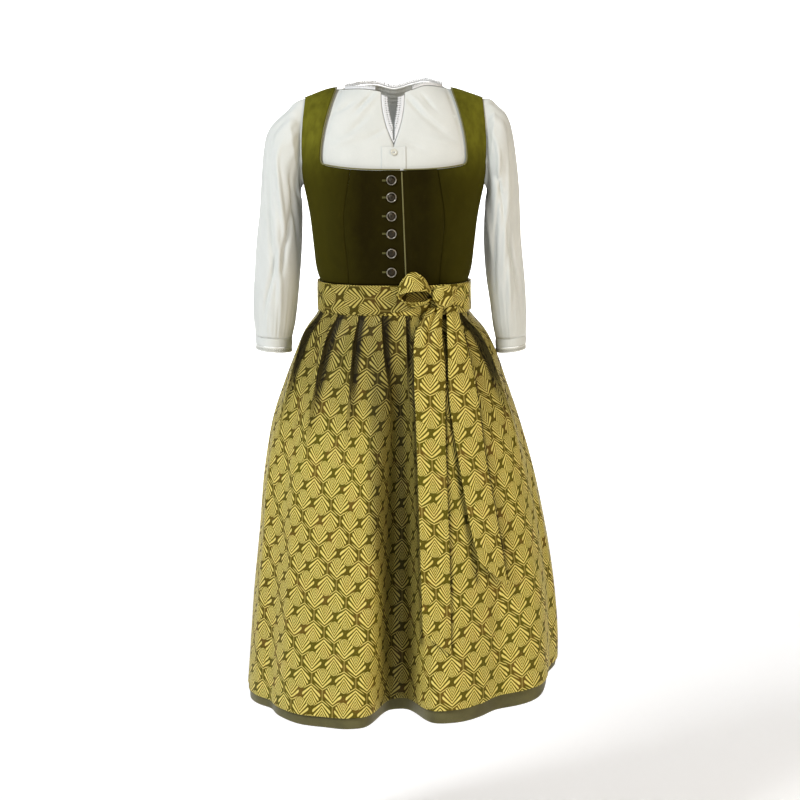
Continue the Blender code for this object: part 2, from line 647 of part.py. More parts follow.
def dress_skirt(cloth):
    """The dark skirt under the apron, in a front and a back piece seamed at the sides."""
    for name, lines in (("skirt_front", front_lines()), ("skirt_back", back_lines())):
        def place(s, t, layer):
            z = levels(t, SKIRT_LEVELS)
            direction = np.radians(levels(s, lines))
            points = moved_out(skirt, direction, z, -SKIRT_CLOTH * (1 - layer))
            return lifted(points, direction, SKIRT_HEM_Z, "skirt")

        wall(name, cloth, len(lines) - 1, len(SKIRT_LEVELS) - 1, place)


# ---------------------------------------------------------------- apron

def apron_panel(cloth):
    """The apron's panel, pleated under its band and falling over the skirt."""
    right, left = APRON_REACH
    behind = back_lines()[1:-1]
    free = np.concatenate([behind[behind > 360 + right] - 360, front_lines(), behind[behind < left]])
    lines = free - np.interp(free, PLEATS["free"], PLEATS["free"] - PLEATS["band"])

    def place(s, t, layer):
        z = levels(t, APRON_LEVELS)
        points, direction = apron(levels(s, lines), z, -JACQUARD * (1 - layer))
        return lifted(points, direction, APRON_HEM_Z, "apron")

    wall("apron_panel", cloth, len(lines) - 1, len(APRON_LEVELS) - 1, place)


def belt(direction, z):
    """The form of the waistband and of the ties on it: an upright oval round the waist."""
    front, back = column(TORSO, "front", WAIST_Z), column(TORSO, "back", WAIST_Z)
    depth = np.where(np.cos(direction) > 0, front, back)
    half = column(TORSO, "half_width", WAIST_Z)
    across, deep = oval(direction, TORSO_POWER)
    return stack(across * half, deep * depth, z)


def waistband(cloth):
    """The apron's band over the front and the sides."""
    def place(s, t, layer):
        z = between(BAND_BOTTOM_Z, BAND_TOP_Z, t)
        direction = (s * 2 - 1) * BAND_REACH
        return moved_out(belt, direction, z, BAND_OUT + BAND_THICK * layer)

    wall("apron_waistband", cloth, 24, 1, place)


def ties(cloth):
    """The two ties: each leaves its end of the band, goes round the back and comes forward."""
    at_knot = direction_at(np.float64(KNOT_X), np.float64(WAIST_Z))
    spans = {"right": (at_knot - 0.05, BAND_REACH + 0.01 - 2 * math.pi, TIE_LOWER_OUT, 0.75),
             "left": (at_knot + 0.05, 2 * math.pi - BAND_REACH - 0.01, TIE_UPPER_OUT, 0.70)}
    for word, (begin, end, out_behind, narrows) in spans.items():
        def place(s, t, layer):
            direction = between(begin, end, s)
            narrow = 1 - ease(np.abs(direction - begin) / narrows)
            low = between(BAND_BOTTOM_Z + 0.0015, KNOT_Z - TIE_AT_KNOT, narrow)
            high = between(BAND_TOP_Z - 0.0010, KNOT_Z + TIE_AT_KNOT, narrow)
            behind = ease((np.abs(direction) - BAND_REACH + 0.5) / 0.3)
            out = between(TIE_LOWER_OUT, out_behind, behind)
            return moved_out(belt, direction, between(low, high, t), out + TIE_CLOTH * layer)

        wall(f"tie_{word}", cloth, 32, 1, place)


def tail(name, cloth, rows, point, out):
    """A hanging tail of a tie, lying on the apron, with a slanted end."""
    bottom, top = rows["z"][0], rows["z"][-1]

    def place(s, t, layer):
        z = between(bottom, top, t)
        x = between(column(rows, "inner", z), column(rows, "outer", z), s)
        return moved_out(tail_form, x, z + point * (1 - s) * (1 - t) ** 3, out + TIE_CLOTH * layer)

    return wall(name, cloth, 3, 12, place)


def tail_form(x, z):
    """Where a tail rests at x and z: clear of the skirt's folds and the apron's pleats."""
    power = column(SKIRT, "power", z)
    share = np.clip(x / column(SKIRT, "left", z), 0, 0.999)
    depth = column(SKIRT, "front", z) * (1 - share ** power) ** (1 / power)
    return stack(x, -depth - TAIL_OFF, z)


def on_waist(x, z, out):
    """A point of the waist's front at x and z, moved out."""
    return moved_out(belt, direction_at(np.asarray(x), np.float64(WAIST_Z)), z, out)


def bow(cloth):
    """The knot, the one loop, and the two tails that hang from it."""
    out = TIE_UPPER_OUT + TIE_CLOTH
    centre = on_waist(KNOT_X, np.float64(KNOT_Z), out + KNOT_HALF[1] + SEAM)
    facing = centre - on_waist(KNOT_X, np.float64(KNOT_Z), out)
    facing /= np.linalg.norm(facing)
    sideways = np.array([-facing[1], facing[0], 0.0])

    def knot(bm):
        bmesh.ops.create_uvsphere(bm, u_segments=10, v_segments=6, radius=1.0)
        for vertex in bm.verts:
            across, deep, up = (h * math.copysign(abs(c) ** 0.8, c)
                                for h, c in zip(KNOT_HALF, vertex.co))
            vertex.co = centre + sideways * across - facing * deep + np.array([0, 0, up])

    add_object("bow_knot", knot, cloth)

    def edge(word, t):
        along = np.linspace(0, 1, len(LOOP_EDGES["front_x"]))
        return on_waist(*(smooth(t, along, LOOP_EDGES[f"{word}_{axis}"])
                          for axis in ("x", "z", "out")))

    def place(s, t, layer):
        across = edge("back", t) - edge("front", t)
        along = edge("front", np.clip(t + 0.02, 0, 1)) - edge("front", np.clip(t - 0.02, 0, 1))
        normal = np.cross(across, along)
        normal /= np.linalg.norm(normal, axis=-1, keepdims=True)
        return (edge("front", t) + across * s[..., None]
                + normal * (TIE_CLOTH * (1 - layer))[..., None])

    wall("bow_loop", cloth, 2, 14, place)
    tail("tail_long", cloth, TAIL_LONG, TAIL_LONG_POINT, 0.0)
    tail("tail_short", cloth, TAIL_SHORT, TAIL_SHORT_POINT, TIE_CLOTH + SEAM)


# ---------------------------------------------------------------- blouse

def blouse_front(name, linen, side):
    """Half the blouse's front, from the neck slit to the armhole and the side seam."""
    lane = lane_direction(BLOUSE_OUTER_LANE, NECKLINE_Z)

    def place(s, t, layer):
        height = climb(t, BLOUSE_FRONT_LEVELS, 0.4)
        edge = armhole_direction(height, NECKLINE_Z, lane) - SIDE_SEAM
        direction = side * between(slit_edge(height, side) + CENTRE_SEAM, edge, s)
        height = np.where(t >= 1, 0.998, height)
        return moved_out(upper_body, direction, height, -BLOUSE_INSET - LINEN * (1 - layer))

    return wall(name, linen, 8, 10, place)


def blouse_back(linen):
    """The blouse's back in one piece."""
    lane = lane_direction(BLOUSE_OUTER_LANE, BACK_NECKLINE_Z)

    def place(s, t, layer):
        height = climb(t, BLOUSE_BACK_LEVELS, 0.5)
        edge = armhole_direction(height, BACK_NECKLINE_Z, lane) - SIDE_SEAM
        direction = math.pi - (s * 2 - 1) * edge
        height = np.where(t >= 1, 0.998, height)
        return moved_out(upper_back, direction, height, -BLOUSE_INSET - LINEN * (1 - layer))

    return wall("blouse_back", linen, 12, 8, place)


def armhole_loop(angle):
    """The bodice's armhole edge, |x| and radius, at angles from its top over the front."""
    points = []
    for form, level, behind in ((upper_body, NECKLINE_Z, False), (upper_back, BACK_NECKLINE_Z, True)):
        lane = lane_direction(STRAP_OUTER_LANE, level)
        heights = np.array(BACK_LEVELS if behind else FRONT_LEVELS)
        strap = np.linspace(0.001, 1, STRAP_ROWS + 1)
        height = np.concatenate([heights[heights >= ARMHOLE_Z], strap])
        direction = armhole_direction(height, level, lane)
        points.append(form(math.pi - direction if behind else direction, height))
    x, y, z = np.concatenate(points).T
    middle_y, middle_z = ARMHOLE_MIDDLE
    seen = np.arctan2(-(y - middle_y), z - middle_z) % (2 * math.pi)
    radius = np.hypot(y - middle_y, z - middle_z)
    return (np.interp(angle, *sorted_by(seen, x), period=2 * math.pi),
            np.interp(angle, *sorted_by(seen, radius), period=2 * math.pi))


def sorted_by(key, values):
    """Keys in order, with their values."""
    order = np.argsort(key)
    return key[order], values[order]


def sleeve_form(rows, side):
    """The sleeve's form at(angle, row): rows 0 and 1 lie in the armhole, the rest hang."""
    knots = np.arange(len(rows["mid_y"]), dtype=float)
    middle_y, middle_z = ARMHOLE_MIDDLE

    def hanging(angle, row):
        outer_x, outer_z, inner_x, inner_z, mid_y, half = (
            smooth(row, knots, rows[name]) for name in rows)
        c, s = np.cos(angle), np.sin(angle)
        return stack(side * ((outer_x + inner_x) / 2 + (outer_x - inner_x) / 2 * c),
                     mid_y - half * s, (outer_z + inner_z) / 2 + (outer_z - inner_z) / 2 * c)

    def mouth(angle, shrink, out):
        x, radius = armhole_loop(angle)
        return stack(side * (x + out), middle_y - np.sin(angle) * (radius - shrink),
                     middle_z + np.cos(angle) * (radius - shrink))

    def at(angle, row):
        angle = angle % (2 * math.pi)
        inside, outside = mouth(angle, 0.0042, -0.0030), mouth(angle, 0.0042, 0.0025)
        near = np.asarray(row)[..., None]
        start = between(inside, outside, np.clip(near, 0, 1))
        leaving = between(outside, hanging(angle, np.float64(0.0)), np.clip(near - 1, 0, 1))
        body = hanging(angle, np.maximum(row - 2, 0.0))
        return np.where(near <= 1, start, np.where(near <= 2, leaving, body))

    return at


def sleeve(word, side, rows, linen, lace):
    """A sleeve, its cuff and the cuff's lace."""
    hanging_rows = len(rows["mid_y"]) - 1
    rim = {name: values[-1] for name, values in rows.items()}
    mid_x, half_x = (rim["outer_x"] + rim["inner_x"]) / 2, (rim["outer_x"] - rim["inner_x"]) / 2
    mid_z, half_z = (rim["outer_z"] + rim["inner_z"]) / 2, (rim["outer_z"] - rim["inner_z"]) / 2

    def tube(form, s, along, layer):
        angle = math.pi + side * (0.003 + s * (2 * math.pi - 0.006))
        return moved_out(form, angle, along, side * LINEN * (layer - 1))

    def cuff(angle, drop):
        c, s = np.cos(angle) * CUFF_PULL, np.sin(angle) * CUFF_PULL
        return stack(side * (mid_x + half_x * c), rim["mid_y"] - rim["half_depth"] * s,
                     mid_z + half_z * c - drop)

    at = sleeve_form(rows, side)
    count = hanging_rows + 2
    wall(f"blouse_sleeve_{word}", linen, SLEEVE_COLUMNS, count,
         lambda s, t, layer: tube(at, s, t * count + 0.002 * (t <= 0), layer))
    foot = SEAM
    wall(f"blouse_cuff_{word}", linen, SLEEVE_COLUMNS, 1,
         lambda s, t, layer: tube(cuff, s, foot + CUFF_HEIGHT * t, layer))
    lace_top = foot + CUFF_HEIGHT + SEAM
    wall(f"cuff_lace_{word}", lace, SLEEVE_COLUMNS, 1,
         lambda s, t, layer: tube(cuff, s, lace_top + CUFF_LACE_HEIGHT * t, layer))


def neck_lace(lace):
    """Scalloped lace that stands on the neck edge: a strip each side before, one behind."""
    near, far = (math.radians(degrees) for degrees in RING_LANES)
    spans = (("neck_lace_right", upper_body, -far, -near), ("neck_lace_left", upper_body, near, far),
             ("neck_lace_back", upper_back, math.pi - far, math.pi + far))
    for name, form, begin, end in spans:
        def place(s, t, layer):
            direction = between(begin, end, s)
            depth = -BLOUSE_INSET - LACE * (1 - layer)
            edge = moved_out(form, direction, np.full_like(s, 0.998), depth)
            up = edge - moved_out(form, direction, np.full_like(s, 0.94), depth)
            up = up / np.linalg.norm(up, axis=-1, keepdims=True) + np.array([0.0, 0.0, 1.2])
            up /= np.linalg.norm(up, axis=-1, keepdims=True)
            return edge + up * (4 * SEAM + NECK_LACE_HEIGHT * t)[..., None]

        wall(name, lace, 8, 1, place)


def slit_edge(height, side):
    """Direction of the slit's edge, from its foot to the neck edge."""
    return SLIT_LANES[side] * ease((height - SLIT_FOOT) / (1 - SLIT_FOOT)) ** 0.7 * (height > 0)


def slit_lace(lace):
    """Lace on both edges of the neck slit, meeting near its foot."""
    for word, side in (("right", -1), ("left", 1)):
        def place(s, t, layer):
            height = between(SLIT_FOOT + 0.14, 0.97, t)
            edge = slit_edge(height, side) - 0.004
            width = np.minimum(edge - 0.003, SLIT_LACE_LANE)
            return moved_out(upper_body, side * (edge - width * (1 - s)), height,
                             -BLOUSE_INSET - LACE * (1 - layer))

        wall(f"slit_lace_{word}", lace, 1, 6, place)


def placket(linen):
    """The strip that carries the blouse's buttons, on the right front below the slit."""
    def place(s, t, layer):
        height = climb(t, PLACKET_LEVELS, 0.4)
        height = np.where(height > NECKLINE_Z, height * SLIT_FOOT * 0.95, height)
        return moved_out(upper_body, between(-PLACKET_LANE, PLACKET_LANE, s), height,
                         -BLOUSE_INSET + SEAM + LINEN * layer)

    wall("blouse_placket", linen, 2, 5, place)


def blouse(linen, lace, pearl):
    """The blouse: body, placket, sleeves, cuffs, lace and its one visible button."""
    blouse_front("blouse_front_right", linen, -1)
    blouse_front("blouse_front_left", linen, 1)
    blouse_back(linen)
    placket(linen)
    sleeve("right", -1, SLEEVE_RIGHT, linen, lace)
    sleeve("left", 1, SLEEVE_LEFT, linen, lace)
    neck_lace(lace)
    slit_lace(lace)
    r = PEARL_RADIUS
    profile = ((0.0, 0.0), (r * 0.8, 0.0), (r, 0.0008), (r * 0.9, 0.0016), (r * 0.7, 0.0013), (0.0, 0.0013))
    at = np.float64(0.0), np.float64(SLIT_FOOT * 0.72)
    foot = moved_out(upper_body, *at, -BLOUSE_INSET + LINEN + 3 * SEAM)
    facing = moved_out(upper_body, *at, 1.0) - moved_out(upper_body, *at, 0.0)
    turned("blouse_button", pearl, profile, foot, to_vector(facing))


def to_vector(values):
    """A mathutils vector from numbers."""
    return Vector([float(v) for v in values])


def clear_scene():
    """Removes whatever objects the scene already holds."""
    for leftover in list(bpy.data.objects):
        bpy.data.objects.remove(leftover, do_unlink=True)


def main():
    """Builds the whole set, garment by garment."""
    clear_scene()
    velvet = material("olive_velvet", (0.055, 0.052, 0.010), 0.85)
    satin = material("piping_satin", (0.16, 0.16, 0.09), 0.55)
    metal = material("pewter", (0.42, 0.40, 0.36), 0.35, 1.0)
    dark_cloth = material("skirt_cloth", (0.085, 0.085, 0.045), 0.85)
    jacquard = material("jacquard", (0.36, 0.33, 0.09), 0.5)
    linen = material("white_linen", (0.86, 0.87, 0.85), 0.8)
    lace = material("white_lace", (0.80, 0.81, 0.80), 0.8)
    pearl = material("pearl", (0.88, 0.88, 0.80), 0.3)
    bodice(velvet)
    piping(satin)
    buttons(metal)
    dress_skirt(dark_cloth)
    apron_panel(jacquard)
    waistband(jacquard)
    ties(jacquard)
    bow(jacquard)
    blouse(linen, lace, pearl)


main()
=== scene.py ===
"""A dirndl set, worn full: velvet bodice, dark skirt, jacquard apron with a side bow, white blouse.

Frame: metres, +Z up. The wearer faces -Y and the wearer's left is +X. Every cloth piece is a
grid laid on the garment's form, given its thickness by Solidify, and carries its own UV map in
metres of flat cloth, which the woven patterns follow.
"""

import logging
import math
from dataclasses import dataclass, field
from enum import Enum
from typing import Callable, Iterable, Sequence

import bmesh
import bpy
import numpy as np
from mathutils import Matrix, Vector

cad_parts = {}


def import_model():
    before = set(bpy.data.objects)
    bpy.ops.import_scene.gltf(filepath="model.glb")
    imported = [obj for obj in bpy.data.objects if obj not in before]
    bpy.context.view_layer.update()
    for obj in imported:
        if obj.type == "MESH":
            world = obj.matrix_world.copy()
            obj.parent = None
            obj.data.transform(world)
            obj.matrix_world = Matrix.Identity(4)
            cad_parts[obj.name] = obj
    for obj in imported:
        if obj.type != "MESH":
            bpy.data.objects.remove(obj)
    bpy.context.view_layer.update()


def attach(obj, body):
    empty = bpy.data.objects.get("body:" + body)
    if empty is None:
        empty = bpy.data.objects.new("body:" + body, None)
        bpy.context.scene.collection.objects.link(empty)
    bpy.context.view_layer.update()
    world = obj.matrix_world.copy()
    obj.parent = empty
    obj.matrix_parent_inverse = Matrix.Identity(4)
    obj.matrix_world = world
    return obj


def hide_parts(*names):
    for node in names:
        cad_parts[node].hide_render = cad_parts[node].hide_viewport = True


log = logging.getLogger("dirndl")

Array = np.ndarray
Rows = dict[str, Array]
Place = Callable[[Array, Array], Array]
Colour = tuple[float, float, float]


# ------------------------------------------------------------------ numbers and tables

def table(columns: str, *rows: Sequence[float]) -> Rows:
    """Named columns of numbers.

    Args:
        columns: The column names, in order.
        rows: One row of numbers for each section.

    Returns:
        The columns by name.
    """
    return dict(zip(columns.split(), (np.array(c, float) for c in zip(*rows))))


def smooth(at: Array, knots: Array, values: Array) -> Array:
    """Cubic through the rows of a table, level past its ends; knots run upward."""
    at = np.clip(at, knots[0], knots[-1])
    slopes = np.gradient(values, knots)
    k = np.clip(np.searchsorted(knots, at) - 1, 0, len(knots) - 2)
    step = knots[k + 1] - knots[k]
    t = (at - knots[k]) / step
    start = values[k] * (1 + 2 * t) + slopes[k] * step * t
    end = values[k + 1] * (3 - 2 * t) - slopes[k + 1] * step * (1 - t)
    return start * (1 - t) ** 2 + end * t * t


def column(rows: Rows, name: str, at: Array, key: str = "z") -> Array:
    """One named column of a table, read between its rows."""
    return smooth(at, rows[key], rows[name])


def ease(t: Array) -> Array:
    """0 to 1, smooth at both ends."""
    t = np.clip(t, 0.0, 1.0)
    return t * t * (3 - 2 * t)


def between(low: Array, high: Array, t: Array) -> Array:
    """Straight from low to high."""
    return low + (high - low) * t


def stack(*axes: Array) -> Array:
    """Points from their coordinates, whatever mix of numbers and arrays they are."""
    return np.stack(np.broadcast_arrays(*axes), axis=-1)


def bump(distance: Array, width: float) -> Array:
    """A soft hump, 1 at no distance."""
    return np.exp(-(distance / width) ** 2)


def moved_out(form: Callable[[Array, Array], Array], a: Array, b: Array, distance: Array) -> Array:
    """Points of a form, moved along its normal.

    Args:
        form: The form's points by two numbers.
        a: The first number, which runs across.
        b: The second, which runs up.
        distance: How far out; minus is towards the wearer.

    Returns:
        The moved points.
    """
    step = 1e-4
    a, b = np.broadcast_arrays(np.asarray(a, float), np.asarray(b, float))
    here = form(a, b)
    normal = np.cross(form(a + step, b) - form(a - step, b), here - form(a, b - step))
    normal /= np.linalg.norm(normal, axis=-1, keepdims=True)
    return here + normal * np.asarray(distance)[..., None]


# ------------------------------------------------------------------ the wearer's form

@dataclass(frozen=True)
class Torso:
    """The bodice's form, and the lanes that run up from it over the chest to the shoulders."""

    power: float = 2.5
    waist_z: float = -0.3358
    neckline_z: float = -0.137
    back_neckline_z: float = -0.090
    armhole_z: float = -0.172
    strap_inner: float = 0.127
    strap_outer: float = 0.159
    neck_lift: float = 0.0090
    neck_lift_span: tuple[float, float, float, float] = (0.80, 1.50, 0.25, 0.045)
    ring_half: float = 0.092
    ring_front: float = 0.056
    ring_back: float = 0.058
    cup: tuple[float, float, float, float, float] = (0.080, -0.218, 0.050, 0.052, 0.009)
    sections: Rows = field(default_factory=lambda: table(
        "z half_width front back",
        (-0.345, 0.1285, 0.0963, 0.0823),
        (-0.336, 0.1300, 0.0972, 0.0832),
        (-0.322, 0.1345, 0.1000, 0.0860),
        (-0.273, 0.1415, 0.1090, 0.0920),
        (-0.225, 0.1470, 0.1170, 0.0990),
        (-0.180, 0.1555, 0.1150, 0.1040),
        (-0.137, 0.1660, 0.1060, 0.1060),
        (-0.090, 0.1680, 0.0960, 0.1030)))
    princess: Rows = field(default_factory=lambda: table(
        "z x", (-0.345, 0.078), (-0.322, 0.0785), (-0.211, 0.0855), (-0.137, 0.0745)))
    lanes: Rows = field(default_factory=lambda: table(
        "low top", (0.0, 0.0), (0.075, 0.060), (0.127, 0.100), (0.159, 0.1545)))
    shoulder: Rows = field(default_factory=lambda: table(
        "x z",
        (-0.1600, -0.0175), (-0.1000, 0.0020), (-0.0800, 0.0030), (-0.0300, -0.0010),
        (0.0000, -0.0090), (0.0300, 0.0000), (0.0550, 0.0080), (0.0800, 0.0070),
        (0.1000, 0.0020), (0.1600, -0.0175)))

    def oval(self, direction: Array) -> tuple[Array, Array]:
        """Across and deep, from -1 to 1, of a rounded section."""
        s, c = np.sin(direction), np.cos(direction)
        return (np.sign(s) * np.abs(s) ** (2 / self.power),
                -np.sign(c) * np.abs(c) ** (2 / self.power))

    def form(self, direction: Array, z: Array) -> Array:
        """The form below the neckline; direction is 0 at the front, positive to +X."""
        full, end, fade, below = self.neck_lift_span
        to_strap = np.minimum(np.abs(direction) / full, 1) ** 2
        to_side = ease((end - np.abs(direction)) / fade)
        z = z + self.neck_lift * to_strap * to_side * ease((z - self.neckline_z) / below + 1)
        across, deep = self.oval(direction)
        x = across * column(self.sections, "half_width", z)
        y = deep * np.where(deep < 0, column(self.sections, "front", z),
                            column(self.sections, "back", z))
        cup_x, cup_z, wide, high, full = self.cup
        cup = np.exp(-((np.abs(x) - cup_x) / wide) ** 2 - ((z - cup_z) / high) ** 2)
        return stack(x, y - full * cup * ease(-deep * 3), z)

    def direction_at(self, x: Array, z: Array) -> Array:
        """The direction in which the section lies at x, before the wearer."""
        share = np.abs(x) / column(self.sections, "half_width", np.asarray(z, float))
        return np.sign(x) * np.arcsin(np.clip(share, 0, 1) ** (self.power / 2))

    def lane(self, x: float, level: float) -> float:
        """Direction of the lane that leaves a level at |x|."""
        return float(self.direction_at(np.float64(x), np.float64(level)))

    def chest(self, direction: Array, rise: Array, level: float, behind: bool) -> Array:
        """Lanes up from a level to the neck edge or the shoulder line, at rise 0 to 1."""
        base = self.form(direction, np.float64(level))
        lean = (base - self.form(direction, np.float64(level - 0.004))) / 0.004
        top_x = np.sign(base[..., 0]) * column(self.lanes, "top", np.abs(base[..., 0]), "low")
        inside = np.clip(1 - (top_x / self.ring_half) ** 2, 0, 1)
        top_y = (self.ring_back if behind else -self.ring_front) * np.sqrt(inside)
        top_z = column(self.shoulder, "z", top_x, "x") + (0.008 * inside if behind else 0)
        height = top_z - base[..., 2]
        reach = base[..., 1] - top_y
        top = stack(top_x, top_y, top_z)
        low_handle = base + lean * (0.42 * height)[..., None]
        top_handle = stack(top_x, top_y + (0.56 - 0.2 * inside) * reach,
                           top_z - 0.35 * inside * height)
        t = np.asarray(rise)[..., None]
        return (base * (1 - t) ** 3 + 3 * low_handle * t * (1 - t) ** 2
                + 3 * top_handle * t * t * (1 - t) + top * t ** 3)

    def front(self, direction: Array, height: Array) -> Array:
        """The form before the wearer: height is z up to the neckline, then 0 to 1 above."""
        low = self.form(direction, np.minimum(height, self.neckline_z))
        high = self.chest(direction, np.maximum(height, 0.0), self.neckline_z, False)
        return np.where((height > self.neckline_z)[..., None], high, low)

    def back(self, direction: Array, height: Array) -> Array:
        """The same behind the wearer."""
        low = self.form(direction, np.minimum(height, self.back_neckline_z))
        high = self.chest(direction, np.maximum(height, 0.0), self.back_neckline_z, True)
        return np.where((height > self.back_neckline_z)[..., None], high, low)

    def armhole(self, height: Array, level: float, lane: float) -> Array:
        """Direction of the armhole's edge: the side seam below it, the strap's lane above."""
        up = np.clip((np.minimum(height, level) - self.armhole_z) / (level - self.armhole_z), 0, 1)
        up = np.where(height > level, 1.0, up)
        return math.pi / 2 + (lane - math.pi / 2) * np.sqrt(up)

    def belt(self, direction: Array, z: Array) -> Array:
        """An upright oval round the waist, for the band and the ties."""
        waist = np.float64(self.waist_z)
        depth = np.where(np.cos(direction) > 0, column(self.sections, "front", waist),
                         column(self.sections, "back", waist))
        across, deep = self.oval(direction)
        return stack(across * column(self.sections, "half_width", waist), deep * depth, z)

    def on_belt(self, x: Array, z: Array, out: Array) -> Array:
        """A point of the waist's front at x and z, moved out."""
        return moved_out(self.belt, self.direction_at(np.asarray(x), np.float64(self.waist_z)),
                         z, out)


def climb(t: Array, low: float, level: float, share: float) -> Array:
    """Heights for Torso.front or back: from low to the level, then 0 to 1 above it."""
    below = between(low, level, np.minimum(t / share, 1.0))
    return np.where(t > share + 1e-9, np.maximum((t - share) / (1 - share), 1e-3), below)


@dataclass(frozen=True)
class SkirtForm:
    """The skirt's form: sections that flare to the hem, a deep front valley and soft folds."""

    waist_z: float = -0.3358
    hem_z: float = -1.097
    sections: Rows = field(default_factory=lambda: table(
        "z right left front back power",
        (-1.097, 0.2570, 0.2930, 0.2130, 0.2160, 2.0),
        (-1.019, 0.2520, 0.2920, 0.2060, 0.2100, 2.0),
        (-0.895, 0.2445, 0.2830, 0.1930, 0.1980, 2.0),
        (-0.794, 0.2355, 0.2685, 0.1790, 0.1840, 2.0),
        (-0.670, 0.2255, 0.2435, 0.1630, 0.1680, 2.0),
        (-0.574, 0.2085, 0.2160, 0.1470, 0.1500, 2.05),
        (-0.518, 0.1900, 0.1970, 0.1360, 0.1380, 2.1),
        (-0.467, 0.1710, 0.1790, 0.1230, 0.1240, 2.2),
        (-0.427, 0.1540, 0.1590, 0.1110, 0.1070, 2.3),
        (-0.389, 0.1290, 0.1290, 0.0965, 0.0825, 2.5),
        (-0.345, 0.1285, 0.1285, 0.0960, 0.0820, 2.5)))
    valley: Rows = field(default_factory=lambda: table(
        "z middle half_width depth",
        (-1.097, 0.020, 0.150, 0.108),
        (-0.900, 0.030, 0.135, 0.094),
        (-0.700, 0.045, 0.125, 0.066),
        (-0.560, 0.050, 0.115, 0.034),
        (-0.470, 0.040, 0.100, 0.009),
        (-0.389, 0.030, 0.100, 0.000)))
    folds: Rows = field(default_factory=lambda: table(
        "waist hem half_width out",
        (-58, -64, 8, -0.013), (-36, -38, 10, 0.009), (-22, -19, 7, 0.008),
        (24, 22, 8, 0.010), (42, 40, 7, -0.014), (60, 57, 8, 0.011),
        (78, 76, 7, -0.010), (-84, -86, 8, 0.004),
        (104, 108, 7, 0.016), (122, 119, 6, -0.015), (137, 135, 7, 0.019),
        (154, 152, 6, -0.017), (168, 170, 7, 0.018), (184, 186, 6, -0.019),
        (199, 200, 7, 0.017), (216, 214, 6, -0.016), (231, 233, 7, 0.018),
        (249, 247, 6, -0.014), (262, 261, 6, 0.010)))
    lift: Rows = field(default_factory=lambda: table(
        "direction apron skirt",
        (-180, 0.020, 0.018), (-100, 0.004, 0.006), (-60, 0.000, 0.003), (-25, 0.000, 0.000),
        (4, 0.010, 0.008), (28, 0.020, 0.015), (50, 0.032, 0.026), (72, 0.048, 0.052),
        (95, 0.062, 0.070), (130, 0.040, 0.045), (180, 0.020, 0.018)))

    def down(self, z: Array) -> Array:
        """0 at the waist to 1 at the hem."""
        return np.clip((self.waist_z - z) / (self.waist_z - self.hem_z), 0, 1)

    def soft(self, degrees: Array, down: Array) -> Array:
        """How far the soft folds push the cloth out, growing to the hem."""
        total = np.zeros_like(down * degrees)
        for waist, hem, width, out in zip(*self.folds.values()):
            turn = (degrees - (waist + (hem - waist) * down) + 180) % 360 - 180
            total = total + out * np.exp(-(turn / width) ** 2)
        return total * down ** 1.2

    def form(self, direction: Array, z: Array) -> Array:
        """The form; z is the nominal height, before the hem is lifted."""
        power = column(self.sections, "power", z)
        s, c = np.sin(direction), np.cos(direction)
        across = np.sign(s) * np.abs(s) ** (2 / power)
        deep = -np.sign(c) * np.abs(c) ** (2 / power)
        reach = np.where(across > 0, column(self.sections, "left", z),
                         column(self.sections, "right", z))
        depth = np.where(deep < 0, column(self.sections, "front", z),
                         column(self.sections, "back", z))
        out = self.soft(np.degrees(direction), self.down(z))
        off = (across - column(self.valley, "middle", z)) / column(self.valley, "half_width", z)
        valley = column(self.valley, "depth", z) * np.exp(-np.abs(off) ** 3) * (deep < 0)
        return stack(across * (reach + out), deep * (depth + out) + valley, z)

    def lifted(self, points: Array, direction: Array, hem_z: float, cloth: str) -> Array:
        """Points with the hem at its uneven height; cloth names the lift's column."""
        degrees = (np.degrees(direction) + 180) % 360 - 180
        down = np.clip((self.waist_z - points[..., 2]) / (self.waist_z - hem_z), 0, 1)
        points[..., 2] += column(self.lift, cloth, degrees, "direction") * down ** 3
        return points


